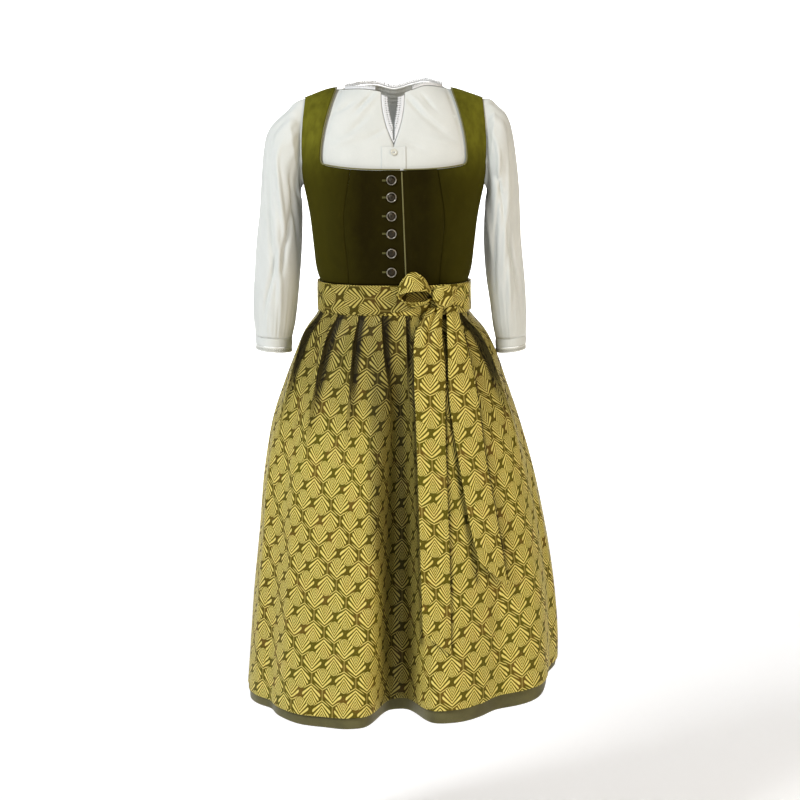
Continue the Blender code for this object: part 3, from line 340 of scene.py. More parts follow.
@dataclass(frozen=True)
class ApronForm:
    """The apron's form: the skirt's, moved out by its gap and by knife pleats that open down.

    Degrees number the cloth at the band; below it the pleats drift to their free places.
    """

    skirt: SkirtForm
    hem_z: float = -1.078
    top_z: float = -0.3890
    free_z: float = -0.57
    gap: float = 0.0022
    reach: tuple[float, float] = (-101.0, 113.0)
    pleats: Rows = field(default_factory=lambda: table(
        "band free free_z rise turn width",
        (-71.0, -68.0, -0.62, 0.0075, 1, 10.0),
        (-42.0, -43.0, -0.66, 0.0085, 1, 9.5),
        (-22.0, -22.0, -0.64, 0.0080, 1, 8.5),
        (-6.0, -3.0, -0.60, 0.0085, 1, 7.5),
        (5.5, 8.5, -0.56, 0.0060, 1, 5.0),
        (24.0, 24.0, -0.66, 0.0085, -1, 7.5),
        (40.5, 44.0, -0.62, 0.0070, -1, 8.0),
        (57.0, 67.0, -0.64, 0.0095, -1, 9.0)))
    creases: Rows = field(default_factory=lambda: table(
        "degrees lean top_z foot_z width out",
        (-84, -3, -0.45, -1.00, 2.6, -0.0030), (-77, 2, -0.60, -1.08, 3.0, 0.0035),
        (-55, -4, -0.42, -0.80, 2.0, -0.0028), (-49, 3, -0.62, -1.08, 2.8, 0.0030),
        (-33, -2, -0.43, -0.76, 1.8, -0.0024), (-29, 2, -0.75, -1.08, 2.6, -0.0030),
        (-15, 1, -0.41, -0.70, 1.6, -0.0022), (-11, -2, -0.70, -1.08, 2.2, 0.0026),
        (15, 2, -0.42, -0.74, 1.8, -0.0026), (31, 3, -0.45, -0.92, 2.2, -0.0030),
        (34, -2, -0.74, -1.08, 2.4, 0.0030), (50, 5, -0.44, -0.86, 2.2, -0.0028),
        (70, 3, -0.66, -1.08, 3.0, 0.0032), (85, 4, -0.46, -0.98, 2.6, -0.0030)))

    def rise(self, degrees: Array, z: Array) -> Array:
        """How far the knife pleats lift the cloth: a slow rise, then a sharp drop at the fold."""
        total = np.zeros_like(degrees * z)
        for band, _, free_z, rise, turn, width in zip(*self.pleats.values()):
            down = np.clip((self.top_z - z) / (self.top_z - free_z), 0, 1.3)
            past = (degrees - band) * turn / width
            ramp = np.where(past < 0, ease(1 + past) ** 1.5,
                            ease(1 - past / (0.07 + 0.5 * down ** 1.5)))
            opening = (0.45 + 0.85 * ease(down * 5)) * (1 - ease(down / 1.3))
            total = np.maximum(total, rise * ramp * opening)
        return total

    def creased(self, degrees: Array, z: Array) -> Array:
        """Shallow creases and ridges that run down the panel, each with its own ends."""
        total = np.zeros_like(degrees * z)
        for at, lean, top_z, foot_z, width, out in zip(*self.creases.values()):
            along = (top_z - z) / (top_z - foot_z)
            fade = ease(along * 4) * ease((1.05 - along) * 3)
            total = total + out * fade * bump(degrees - at - lean * along, width * (0.7 + along))
        return total

    def direction(self, degrees: Array, z: Array) -> Array:
        """Direction of the cloth's numbered line at a height."""
        drift = np.interp(degrees, self.pleats["band"], self.pleats["free"] - self.pleats["band"])
        down = np.clip((self.top_z - z) / (self.top_z - self.free_z), 0, 1)
        return np.radians(degrees + drift * down)

    def place(self, degrees: Array, z: Array, thickness: float) -> Array:
        """Points of the apron's outer face at a line and a nominal height."""
        direction = self.direction(degrees, z)
        out = self.gap + thickness + self.rise(degrees, z) + np.maximum(
            self.creased(degrees, z), -self.gap * 0.6)
        points = moved_out(self.skirt.form, direction, z, out)
        return self.skirt.lifted(points, direction, self.hem_z, "apron")

    def number(self, free: Array) -> Array:
        """The line's number at the band for a direction below the pleats."""
        drift = self.pleats["free"] - self.pleats["band"]
        return free - np.interp(free, self.pleats["free"], drift)


# ------------------------------------------------------------------ shader maths

class Value:
    """A shader socket that takes part in arithmetic."""

    def __init__(self, graph: "Graph", socket: bpy.types.NodeSocket) -> None:
        """Wraps one output socket of a graph."""
        self.graph = graph
        self.socket = socket

    def _math(self, operation: str, *operands: "Value | float") -> "Value":
        """One Math node on the operands."""
        return self.graph.node("ShaderNodeMath", {"operation": operation},
                               dict(enumerate(operands)))

    def __add__(self, other: "Value | float") -> "Value":
        """Sum."""
        return self._math("ADD", self, other)

    __radd__ = __add__

    def __sub__(self, other: "Value | float") -> "Value":
        """Difference."""
        return self._math("SUBTRACT", self, other)

    def __rsub__(self, other: float) -> "Value":
        """Difference, from a number."""
        return self._math("SUBTRACT", other, self)

    def __mul__(self, other: "Value | float") -> "Value":
        """Product."""
        return self._math("MULTIPLY", self, other)

    __rmul__ = __mul__

    def __truediv__(self, other: "Value | float") -> "Value":
        """Quotient."""
        return self._math("DIVIDE", self, other)

    def __pow__(self, other: float) -> "Value":
        """Power."""
        return self._math("POWER", self, other)

    def call(self, operation: str, *others: "Value | float") -> "Value":
        """Any other Math operation with this value first."""
        return self._math(operation, self, *others)

    def inside(self, soft: float) -> "Value":
        """1 where the value is above 0, 0 below, over a soft edge."""
        return (self / soft + 0.5).call("MAXIMUM", 0.0).call("MINIMUM", 1.0)


class Graph:
    """The nodes of one material."""

    def __init__(self, name: str) -> None:
        """Starts a material with a Principled shader and its output."""
        self.material = bpy.data.materials.new(name)
        self.material.use_nodes = True
        self.tree = self.material.node_tree
        self.tree.nodes.clear()
        self.shader = self.tree.nodes.new("ShaderNodeBsdfPrincipled")
        output = self.tree.nodes.new("ShaderNodeOutputMaterial")
        self.tree.links.new(self.shader.outputs[0], output.inputs["Surface"])

    def node(self, kind: str, settings: dict, inputs: dict, output: int | str = 0) -> Value:
        """Adds one node.

        Args:
            kind: The node's type.
            settings: What is set on the node itself.
            inputs: Values or links for its sockets, by name or number.
            output: Which output is returned.

        Returns:
            The output, ready for arithmetic.
        """
        made = self.tree.nodes.new(kind)
        for name, setting in settings.items():
            setattr(made, name, setting)
        for key, given in inputs.items():
            if isinstance(given, Value):
                self.tree.links.new(given.socket, made.inputs[key])
            else:
                made.inputs[key].default_value = given
        return Value(self, made.outputs[output])

    def flat(self) -> tuple[Value, Value]:
        """The cloth's own coordinates in metres: across and down its length."""
        uv = self.node("ShaderNodeUVMap", {"uv_map": "cloth"}, {})
        return (self.node("ShaderNodeSeparateXYZ", {}, {0: uv}, "X"),
                self.node("ShaderNodeSeparateXYZ", {}, {0: uv}, "Y"))

    def place(self) -> Value:
        """Object coordinates."""
        return self.node("ShaderNodeTexCoord", {}, {}, "Object")

    def noise(self, scale: float, detail: float = 3.0, stretch: Colour | None = None,
              on_cloth: bool = False) -> Value:
        """Noise from 0 to 1, stretched along some axes."""
        where = self.node("ShaderNodeUVMap", {"uv_map": "cloth"}, {}) if on_cloth else self.place()
        if stretch:
            where = self.node("ShaderNodeVectorMath", {"operation": "MULTIPLY"},
                              {0: where, 1: stretch})
        return self.node("ShaderNodeTexNoise", {}, {"Vector": where, "Scale": scale,
                                                    "Detail": detail, "Roughness": 0.55}, "Fac")

    def mix(self, share: "Value | float", low: "Value | Colour", high: "Value | Colour") -> Value:
        """A colour between two others."""
        def four(c: "Value | Colour") -> "Value | tuple":
            return c if isinstance(c, Value) else (*c, 1.0)
        return self.node("ShaderNodeMix", {"data_type": "RGBA"},
                         {"Factor": share, 6: four(low), 7: four(high)}, 2)

    def raised(self, height: Value, distance: float, strength: float = 1.0) -> Value:
        """A normal from a height between 0 and 1, for a relief of the given distance."""
        return self.node("ShaderNodeBump", {}, {"Height": height, "Distance": distance,
                                                "Strength": strength})

    def dress(self, **inputs: "Value | float | tuple") -> bpy.types.Material:
        """Sets or links the shader's sockets; underscores stand for spaces."""
        for key, given in inputs.items():
            socket = self.shader.inputs[key.replace("_", " ")]
            if isinstance(given, Value):
                self.tree.links.new(given.socket, socket)
            else:
                socket.default_value = given
        return self.material


def colour(red: float, green: float, blue: float) -> Colour:
    """A linear colour from screen values of 0 to 255."""
    def linear(c: float) -> float:
        c /= 255
        return c / 12.92 if c <= 0.04045 else ((c + 0.055) / 1.055) ** 2.4
    return (linear(red), linear(green), linear(blue))


# ------------------------------------------------------------------ finishes

@dataclass(frozen=True)
class Jacquard:
    """Olive gold satin with pale leaf fans, woven in columns that step down across the cloth."""

    pitch: float = 0.021
    half_period: float = 0.0554
    drop: float = 0.0277
    fan_foot: float = 0.0467
    fan_height: float = 0.0390
    fan_half: float = 0.0178
    lowest: float = 0.56
    steeper: float = 65.0
    leaflets: float = 188.0
    ground: Colour = colour(90, 76, 12)
    leaf: Colour = colour(240, 224, 130)
    leaf_low: Colour = colour(204, 182, 74)
    stem: Colour = colour(150, 132, 62)
    # shade: the colour of the painted shadow and painted shade
    shade: Colour = colour(20, 15, 2)
    brown: Colour = colour(114, 85, 33)
    green: Colour = colour(92, 87, 14)

    def fans(self, across: Value, down: Value) -> tuple[Value, Value]:
        """The woven figure: leaflets rise from places along a rib, steeper towards its top.

        Args:
            across: Metres across the cloth.
            down: Metres down it.

        Returns:
            Masks of the leaflets and of the stems.
        """
        leaf = stem = None
        middle = (across / self.pitch + 0.5).call("FLOOR")
        for neighbour in (-1, 0, 1):
            number = middle + neighbour
            x = (across - number * self.pitch).call("ABSOLUTE")
            t = (down - number * self.drop).call("PINGPONG", self.half_period)
            up = self.fan_foot - t
            rise = (up - x * self.lowest) / (1.0 + x * self.steeper)
            off = (rise * self.leaflets).call("PINGPONG", 0.5) * 2.0
            share = up / self.fan_height
            above = ((share - 0.43) / 0.57).call("MAXIMUM", 0.0)
            below = ((0.33 - share) / 0.33).call("MAXIMUM", 0.0)
            outline = ((1.0 - above * above).call("MAXIMUM", 0.0) ** 0.62
                       * (1.0 - below ** 1.25).call("MAXIMUM", 0.0) * self.fan_half)
            edge = outline - x - off * off * 0.0056
            inside = edge.inside(0.0009) * (share * 40.0).inside(1.0)
            one_leaf = inside * (0.52 - off).inside(0.20)
            one_stem = (0.0013 - x).inside(0.0006) * (t - self.fan_foot + 0.0010).inside(0.0010)
            leaf = one_leaf if leaf is None else leaf.call("MAXIMUM", one_leaf)
            stem = one_stem if stem is None else stem.call("MAXIMUM", one_stem)
        return leaf, stem

    def make(self, name: str, sideways: bool) -> bpy.types.Material:
        """The cloth; sideways turns the figure to lie along a band or tie."""
        graph = Graph(name)
        across, down = graph.flat()
        if sideways:
            across, down = down, across
        leaf, stem = self.fans(across, down)
        patches = graph.noise(26.0, 2.0, on_cloth=True)
        shot = graph.noise(5.0, 2.0, (1.0, 1.0, 0.5))
        base = graph.mix((shot - 0.5).inside(0.25), self.ground, self.green)
        base = graph.mix((patches - 0.58).inside(0.10) * 0.6, base, self.brown)
        base = graph.mix(stem * 0.9, base, self.stem)
        slub = graph.noise(520.0, 2.0, (1.0, 0.08, 1.0), on_cloth=True)
        bright = graph.mix((slub - 0.5) * 1.6 + 0.62, self.leaf_low, self.leaf)
        base = graph.mix(leaf, base, bright)
        # Painted shade: a per-point attribute darkens the cloth towards the shade colour, the ground
        # more than the leaves, almost fully where it is strongest.
        painted_shade = graph.node("ShaderNodeAttribute", {"attribute_name": "painted_shade"}, {}, "Fac")
        deep = painted_shade ** 12.0
        base = graph.mix(painted_shade * (0.88 - leaf * 0.20) + deep * (leaf * 0.20 + 0.10), base,
                         self.shade)
        woven = leaf.call("MAXIMUM", stem * 0.7)
        twill = ((across + down) * 4200.0).call("SINE") * 0.12 + slub * 0.35
        return graph.dress(
            Base_Color=base, Roughness=0.62 - leaf * 0.12,
            Normal=graph.raised(woven * 0.5 + twill, 0.00018, 0.4),
            Specular_IOR_Level=0.12)


@dataclass(frozen=True)
class Velvet:
    """Dark olive velvet, with painted sheen towards the sides and painted light on the straps."""

    dark: Colour = colour(30, 25, 2)
    # light: the lighter colour of the painted sheen towards the sides
    light: Colour = colour(62, 58, 8)
    # shoulder: the colour of the painted light on the straps
    shoulder: Colour = colour(108, 106, 30)
    sheen: Colour = colour(150, 150, 60)

    def make(self) -> bpy.types.Material:
        """The velvet, brushed in soft patches, with its short pile as relief."""
        graph = Graph("olive velvet")
        brushed = graph.noise(14.0, 4.0, (1.0, 1.0, 0.40))
        fine = graph.noise(90.0, 3.0, (1.0, 1.0, 0.5))
        pile = graph.noise(1400.0, 2.0)
        where = graph.node("ShaderNodeSeparateXYZ", {}, {0: graph.place()}, "X").call("ABSOLUTE")
        high = graph.node("ShaderNodeSeparateXYZ", {}, {0: graph.place()}, "Z")
        # Painted sheen: the colour grows lighter away from the centre front, where the velvet is
        # seen more edge on.
        sideways = ((where - 0.055) / 0.085).call("MAXIMUM", 0.0).call("MINIMUM", 1.0)
        brushed_tone_and_painted_sheen = ((brushed - 0.5) * 0.35 + (fine - 0.5) * 0.25 + sideways * 0.95 + 0.06)
        base = graph.mix(brushed_tone_and_painted_sheen.call("MAXIMUM", 0.0).call("MINIMUM", 1.0), self.dark, self.light)
        # Painted light: the straps high on the shoulders grow lighter towards the sides, broken up
        # by noise.
        strap = ((high + 0.175) / 0.085).call("MAXIMUM", 0.0).call("MINIMUM", 1.0)
        lift = strap * strap * sideways * ((brushed - 0.5) * 0.8 + (fine - 0.5) * 1.3 + 0.85)
        base = graph.mix(lift.call("MAXIMUM", 0.0).call("MINIMUM", 1.0), base, self.shoulder)
        return graph.dress(
            Base_Color=base, Roughness=0.92, Normal=graph.raised(pile + brushed * 3.0, 0.0003, 0.5),
            Sheen_Weight=0.16, Sheen_Roughness=0.25, Sheen_Tint=(*self.sheen, 1.0),
            Specular_IOR_Level=0.06)


@dataclass(frozen=True)
class PlainWeave:
    """A plain woven cloth with visible threads and a slightly uneven tone."""

    name: str
    low: Colour
    high: Colour
    threads: float
    roughness: float
    sheen: float

    def make(self) -> bpy.types.Material:
        """The cloth on its own flat coordinates."""
        graph = Graph(self.name)
        across, down = graph.flat()
        warp = (across * self.threads * math.tau).call("SINE")
        weft = (down * self.threads * math.tau).call("SINE")
        weave = warp * weft * 0.5 + 0.5
        tone = graph.noise(22.0, 4.0, on_cloth=True) * 0.7 + graph.noise(700.0, 2.0) * 0.3
        return graph.dress(
            Base_Color=graph.mix(tone, self.low, self.high), Roughness=self.roughness,
            Normal=graph.raised(weave * 0.6 + tone * 0.4, 0.00016, 0.5),
            Sheen_Weight=self.sheen, Sheen_Roughness=0.4, Specular_IOR_Level=0.25)


@dataclass(frozen=True)
class Lace:
    """White cotton lace: a net with round holes, a solid foot and a scalloped free edge.

    Across the strip the flat coordinate runs from 0 at the sewn foot to its width.
    """

    width: float
    repeat: float = 0.0055

    def make(self, name: str) -> bpy.types.Material:
        """The lace, its holes cut by transparency."""
        graph = Graph(name)
        along, up = graph.flat()
        share = up / self.width
        wave = (along * (math.tau / self.repeat)).call("COSINE")
        scallop = 0.90 + wave * 0.10 - share
        turned = (along * (math.tau / self.repeat) + math.pi).call("COSINE") * 0.5 + 0.5
        hole_row = 1.0 - ((share - 0.58).call("ABSOLUTE") * 4.2)
        eyelet = (turned * hole_row.call("MAXIMUM", 0.0) - 0.55).inside(0.12)
        net_u = (along * (math.tau / 0.0014)).call("SINE").call("ABSOLUTE")
        net_v = (up * (math.tau / 0.0014)).call("SINE").call("ABSOLUTE")
        net = (net_u * net_v - 0.62).inside(0.2) * (share - 0.22).inside(0.05) * 0.45
        solid = scallop.inside(0.05) * (1.0 - eyelet) * (1.0 - net)
        thread = graph.noise(1500.0, 2.0)
        return graph.dress(
            Base_Color=graph.mix(thread, colour(214, 217, 219), colour(246, 247, 247)),
            Roughness=0.85, Alpha=solid, Normal=graph.raised(thread, 0.0003, 0.6),
            Sheen_Weight=0.2, Specular_IOR_Level=0.2)


@dataclass(frozen=True)
class Beading:
    """White edging with one row of slanted worked holes along it."""

    row: float = 0.0048
    repeat: float = 0.0036
    lean: float = 0.55
    half_width: float = 0.0009
    half_height: float = 0.0024

    def make(self, name: str) -> bpy.types.Material:
        """The edging; its holes are painted shade over a sunken relief."""
        graph = Graph(name)
        across, down = graph.flat()
        v = down - self.row
        u = (across + v * self.lean).call("PINGPONG", self.repeat / 2) / self.half_width
        v = v / self.half_height
        hole = (1.0 - (u * u + v * v).call("SQRT")).inside(0.35)
        thread = graph.noise(1500.0, 2.0)
        base = graph.mix(thread, colour(208, 210, 204), colour(236, 237, 230))
        return graph.dress(
            # Painted shade in the holes.
            Base_Color=graph.mix(hole * 0.85, base, colour(150, 150, 138)), Roughness=0.85,
            Normal=graph.raised(thread * 0.4 - hole, 0.0005, 0.7), Specular_IOR_Level=0.2)


class Metal(Enum):
    """The two tones of an antique pewter button."""

    RIM = (colour(150, 144, 130), colour(226, 220, 208), 0.30)
    DOME = (colour(14, 12, 8), colour(74, 68, 56), 0.30)

    def make(self) -> bpy.types.Material:
        """Worn metal, dark in the hollows."""
        low, high, roughness = self.value
        graph = Graph(f"pewter {self.name.lower()}")
        wear = graph.noise(900.0, 4.0)
        return graph.dress(Base_Color=graph.mix(wear, low, high), Metallic=0.9,
                           Roughness=wear * 0.2 + (roughness - 0.1),
                           Normal=graph.raised(wear, 0.0002, 0.5))


class Plain(Enum):
    """Small plain finishes: colour and roughness."""

    PIPING = (colour(118, 114, 66), 0.5)
    STITCH = (colour(104, 102, 52), 0.8)
    PEARL = (colour(230, 229, 214), 0.14)

    def make(self) -> bpy.types.Material:
        """A fine-grained finish of one colour."""
        shade, roughness = self.value
        graph = Graph(f"{self.name.lower()} finish")
        grain = graph.noise(800.0, 3.0)
        darker = tuple(c * 0.72 for c in shade)
        return graph.dress(Base_Color=graph.mix(grain, darker, shade), Roughness=roughness,
                           Normal=graph.raised(grain, 0.0002, 0.3))


# ------------------------------------------------------------------ making cloth

class Held(Enum):
    HUNG = "hung"
    GATHERED = "gathered"
    DRAPED = "draped"
    STRETCHED = "stretched"
    FOLDED = "folded"


@dataclass
class Workroom:
    """Cuts and lays the pieces, dresses them and enters them in the frame."""

    finishes: dict[str, bpy.types.Material]

    def add(self, name: str, mesh: bpy.types.Mesh, finish: str, slot: str,
            replaces: Iterable[str] = ()) -> bpy.types.Object:
        """Links a finished mesh.

        Args:
            name: The piece's name.
            mesh: Its mesh, already in place.
            finish: Which of the finishes it wears.
            slot: The name of a material slot; not used.
            replaces: The CAD nodes that it stands for.

        Returns:
            The new object, riding on the one body.
        """
        mesh.materials.append(self.finishes[finish])
        piece = bpy.data.objects.new(name, mesh)
        bpy.context.scene.collection.objects.link(piece)
        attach(piece, "root")
        for node in replaces:
            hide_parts(node)
        log.info("%s: %d faces", name, len(mesh.polygons))
        return piece

    def grid(self, name: str, columns: int, rows: int, place: Place,
             notch: Callable[[Array, Array], Array] | None = None,
             flat: Callable[[Array, Array, Array], tuple[Array, Array]] | None = None,
             ) -> bpy.types.Mesh:
        """A grid laid out by a formula, with its flat coordinates in metres.

        Args:
            name: The mesh's name.
            columns: How many faces across.
            rows: How many faces up.
            place: Points of the outer face for shares across and up.
            notch: Where the grid is cut away, by the same shares.
            flat: Flat coordinates from shares and points; by default arc lengths.

        Returns:
            The mesh, its faces turned outwards by the layout itself.
        """
        bm = bmesh.new()
        bmesh.ops.create_grid(bm, x_segments=columns, y_segments=rows, size=0.5)
        if notch:
            gone = [f for f in bm.faces
                    if notch(*(c + 0.5 for c in f.calc_center_median().xy))]
            bmesh.ops.delete(bm, geom=gone, context="FACES")
        mesh = bpy.data.meshes.new(name)
        bm.to_mesh(mesh)
        bm.free()
        plan = np.empty(len(mesh.vertices) * 3)
        mesh.vertices.foreach_get("co", plan)
        plan = plan.reshape(-1, 3)
        i = np.rint((plan[:, 0] + 0.5) * columns).astype(int)
        j = np.rint((plan[:, 1] + 0.5) * rows).astype(int)
        s, t = np.meshgrid(np.linspace(0, 1, columns + 1), np.linspace(0, 1, rows + 1))
        points = place(s, t)
        across, down = (flat or self.lengths)(s, t, points)
        mesh.vertices.foreach_set("co", points[j, i].ravel())
        mesh.attributes.new("plan", "INT", "POINT").data.foreach_set("value", j * (columns + 1) + i)
        corner = np.empty(len(mesh.loops), dtype=np.int32)
        mesh.loops.foreach_get("vertex_index", corner)
        layer = mesh.uv_layers.new(name="cloth")
        layer.data.foreach_set("uv", np.stack([across[j, i], down[j, i]], 1)[corner].ravel())
        mesh.shade_smooth()
        mesh.update()
        return mesh

    @staticmethod
    def mark(mesh: bpy.types.Mesh, name: str, columns: int, rows: int, values: Array) -> None:
        """Writes a grid's own numbers, one for each of its points, as an attribute.

        Args:
            mesh: A mesh made by grid, still as it was laid.
            name: The attribute's name.
            columns: The grid's faces across.
            rows: The grid's faces up.
            values: The numbers, by row and column.
        """
        order = mesh.attributes.new(name, "FLOAT", "POINT")
        plan = mesh.attributes["plan"].data
        place = np.empty(len(mesh.vertices), dtype=np.int32)
        plan.foreach_get("value", place)
        order.data.foreach_set("value", values.reshape((rows + 1) * (columns + 1))[place])

    @staticmethod
    def lengths(_s: Array, _t: Array, points: Array) -> tuple[Array, Array]:
        """Arc lengths from the grid's middle column and down from its top row."""
        steps = np.linalg.norm(np.diff(points, axis=1), axis=-1)
        across = np.concatenate([np.zeros((len(points), 1)), np.cumsum(steps, 1)], 1)
        across -= across[:, [across.shape[1] // 2]]
        steps = np.linalg.norm(np.diff(points, axis=0), axis=-1)
        up = np.concatenate([np.zeros((1, points.shape[1])), np.cumsum(steps, 0)], 0)
        return across, up[-1:] - up

    def cloth(self, name: str, columns: int, rows: int, place: Place, finish: str, slot: str,
              thickness: float, replaces: Iterable[str] = (),
              notch: Callable[[Array, Array], Array] | None = None,
              flat: Callable[[Array, Array, Array], tuple[Array, Array]] | None = None
              ) -> bpy.types.Object:
        """A piece of cloth: a laid grid given its thickness inwards.

        Args:
            name: The piece's name.
            columns: How many faces across.
            rows: How many faces up.
            place: Points of the outer face.
            finish: Which of the finishes it wears.
            slot: The name of a material slot, handed on to add.
            thickness: The cloth's thickness in metres.
            replaces: The CAD nodes that it stands for.
            notch: Where the grid is cut away.
            flat: Flat coordinates, if not arc lengths.

        Returns:
            The new object.
        """
        mesh = self.grid(name, columns, rows, place, notch, flat)
        piece = self.add(name, mesh, finish, slot, replaces)
        wall = piece.modifiers.new("thickness", "SOLIDIFY")
        wall.thickness = thickness
        wall.offset = -1.0
        return piece

    def strand(self, name: str, points: Array, radius: float, finish: str, slot: str,
               replaces: Iterable[str] = (), sides: int = 10) -> bpy.types.Object:
        """A thin round strand through some points, closed at its ends.

        Args:
            name: The piece's name.
            points: Its centre line.
            radius: Its radius in metres.
            finish: Which of the finishes it wears.
            slot: The name of a material slot, handed on to add.
            replaces: The CAD nodes that it stands for.
            sides: How many sides it has.

        Returns:
            The new object.
        """
        mesh = self.tubes(name, [points], radius, sides)
        return self.add(name, mesh, finish, slot, replaces)

    def tubes(self, name: str, lines: Sequence[Array], radius: float,
              sides: int = 6) -> bpy.types.Mesh:
        """Joined tubes, each a capped ring extruded along its own line.

        Args:
            name: The mesh's name.
            lines: Centre lines, all of at least two points.
            radius: Radius in metres.
            sides: Sides of each tube.

        Returns:
            The mesh.
        """
        bm = bmesh.new()
        for line in lines:
            line = np.asarray(line, float)
            ahead = np.vstack([line[1:], 2 * line[-1] - line[-2]])
            behind = np.vstack([2 * line[0] - line[1], line[:-1]])
            run = ahead - behind
            run /= np.linalg.norm(run, axis=1, keepdims=True)
            side = np.cross(run, np.array([0.0, 0.0, 1.0]) + 1e-4)
            side /= np.linalg.norm(side, axis=1, keepdims=True)
            up = np.cross(side, run)
            turn = np.linspace(0, math.tau, sides, endpoint=False)
            rings = (line[:, None] + radius * (np.cos(turn)[None, :, None] * side[:, None]
                                               + np.sin(turn)[None, :, None] * up[:, None]))
            ring = bmesh.ops.create_circle(bm, cap_ends=False, segments=sides, radius=1.0)["verts"]
            start = list(ring)
            for number, points in enumerate(rings):
                if number:
                    edges = [e for e in {e for v in ring for e in v.link_edges}
                             if all(v in ring for v in e.verts)]
                    grown = bmesh.ops.extrude_edge_only(bm, edges=edges)["geom"]
                    new = {v for e in grown if isinstance(e, bmesh.types.BMEdge)
                           for v in e.verts if v not in ring}
                    ring = [next(v for e in old.link_edges for v in e.verts if v in new)
                            for old in ring]
                for vertex, point in zip(ring, points):
                    vertex.co = point
            bmesh.ops.contextual_create(bm, geom=self.loop_edges(start))
            bmesh.ops.contextual_create(bm, geom=self.loop_edges(ring))
        bmesh.ops.recalc_face_normals(bm, faces=bm.faces[:])
        mesh = bpy.data.meshes.new(name)
        bm.to_mesh(mesh)
        bm.free()
        mesh.shade_smooth()
        return mesh

    @staticmethod
    def loop_edges(ring: Sequence[bmesh.types.BMVert]) -> list[bmesh.types.BMEdge]:
        """The edges between the vertices of one ring."""
        chosen = set(ring)
        return list({e for v in ring for e in v.link_edges if set(e.verts) <= chosen})

    def turned(self, name: str, profile: Sequence[tuple[float, float]], foot: Vector,
               facing: Vector, steps: int = 40) -> bpy.types.Mesh:
        """A profile of radius and height, spun round its axis, on a foot and facing out.

        Args:
            name: The mesh's name.
            profile: Radius and height in metres, from the back round to the front.
            foot: Where the axis meets the cloth.
            facing: The axis, outwards.
            steps: Steps of the spin.

        Returns:
            The mesh.
        """
        bm = bmesh.new()
        verts = [bm.verts.new((r, 0.0, h)) for r, h in profile]
        edges = [bm.edges.new(two) for two in zip(verts, verts[1:])]
        bmesh.ops.spin(bm, geom=verts + edges, cent=(0, 0, 0), axis=(0, 0, 1), angle=math.tau,
                       steps=steps, use_merge=True)
        bmesh.ops.remove_doubles(bm, verts=bm.verts[:], dist=1e-6)
        bmesh.ops.recalc_face_normals(bm, faces=bm.faces[:])
        turn = facing.to_track_quat("Z", "Y").to_matrix().to_4x4()
        bmesh.ops.transform(bm, matrix=Matrix.Translation(foot) @ turn, verts=bm.verts[:])
        mesh = bpy.data.meshes.new(name)
        bm.to_mesh(mesh)
        bm.free()
        mesh.shade_smooth()
        return mesh


def spread(*stops: tuple[float, float, int]) -> Array:
    """Uneven steps: runs of (from, to, count), joined end to end."""
    runs = [np.linspace(a, b, n, endpoint=False) for a, b, n in stops]
    return np.concatenate([*runs, [stops[-1][1]]])


def along(t: Array, knots: Array) -> Array:
    """Values of unevenly spaced knots at shares of their count."""
    return np.interp(t, np.linspace(0, 1, len(knots)), knots)


def cut_of(mesh: bpy.types.Mesh) -> tuple[float, float, float]:
    """Width, length and area of a piece's flat cut, from its flat coordinates."""
    uv = np.empty(len(mesh.loops) * 2)
    mesh.uv_layers["cloth"].data.foreach_get("uv", uv)
    uv = uv.reshape(-1, 2)
    wide, long = np.ptp(uv, axis=0)
    quads = uv.reshape(-1, 4, 2)
    one, two = quads[:, 2] - quads[:, 0], quads[:, 3] - quads[:, 1]
    area = float(np.abs(one[:, 0] * two[:, 1] - one[:, 1] * two[:, 0]).sum() / 2)
    return float(wide), float(long), min(area, float(wide * long))


def declare(piece: bpy.types.Object, held: Held,
            with_pieces: Sequence[bpy.types.Object] = ()) -> None:
    """Logs the cut that a piece of cloth's flat coordinates give.

    Args:
        piece: The cloth.
        held: How it is held; not used.
        with_pieces: Separate trimmings on it; not used.
    """
    wide, long, area = cut_of(piece.data)
    list(with_pieces)
    log.info("%s cut: %.3f by %.3f m, %.4f m2", piece.name, wide, long, area)


# ------------------------------------------------------------------ bodice

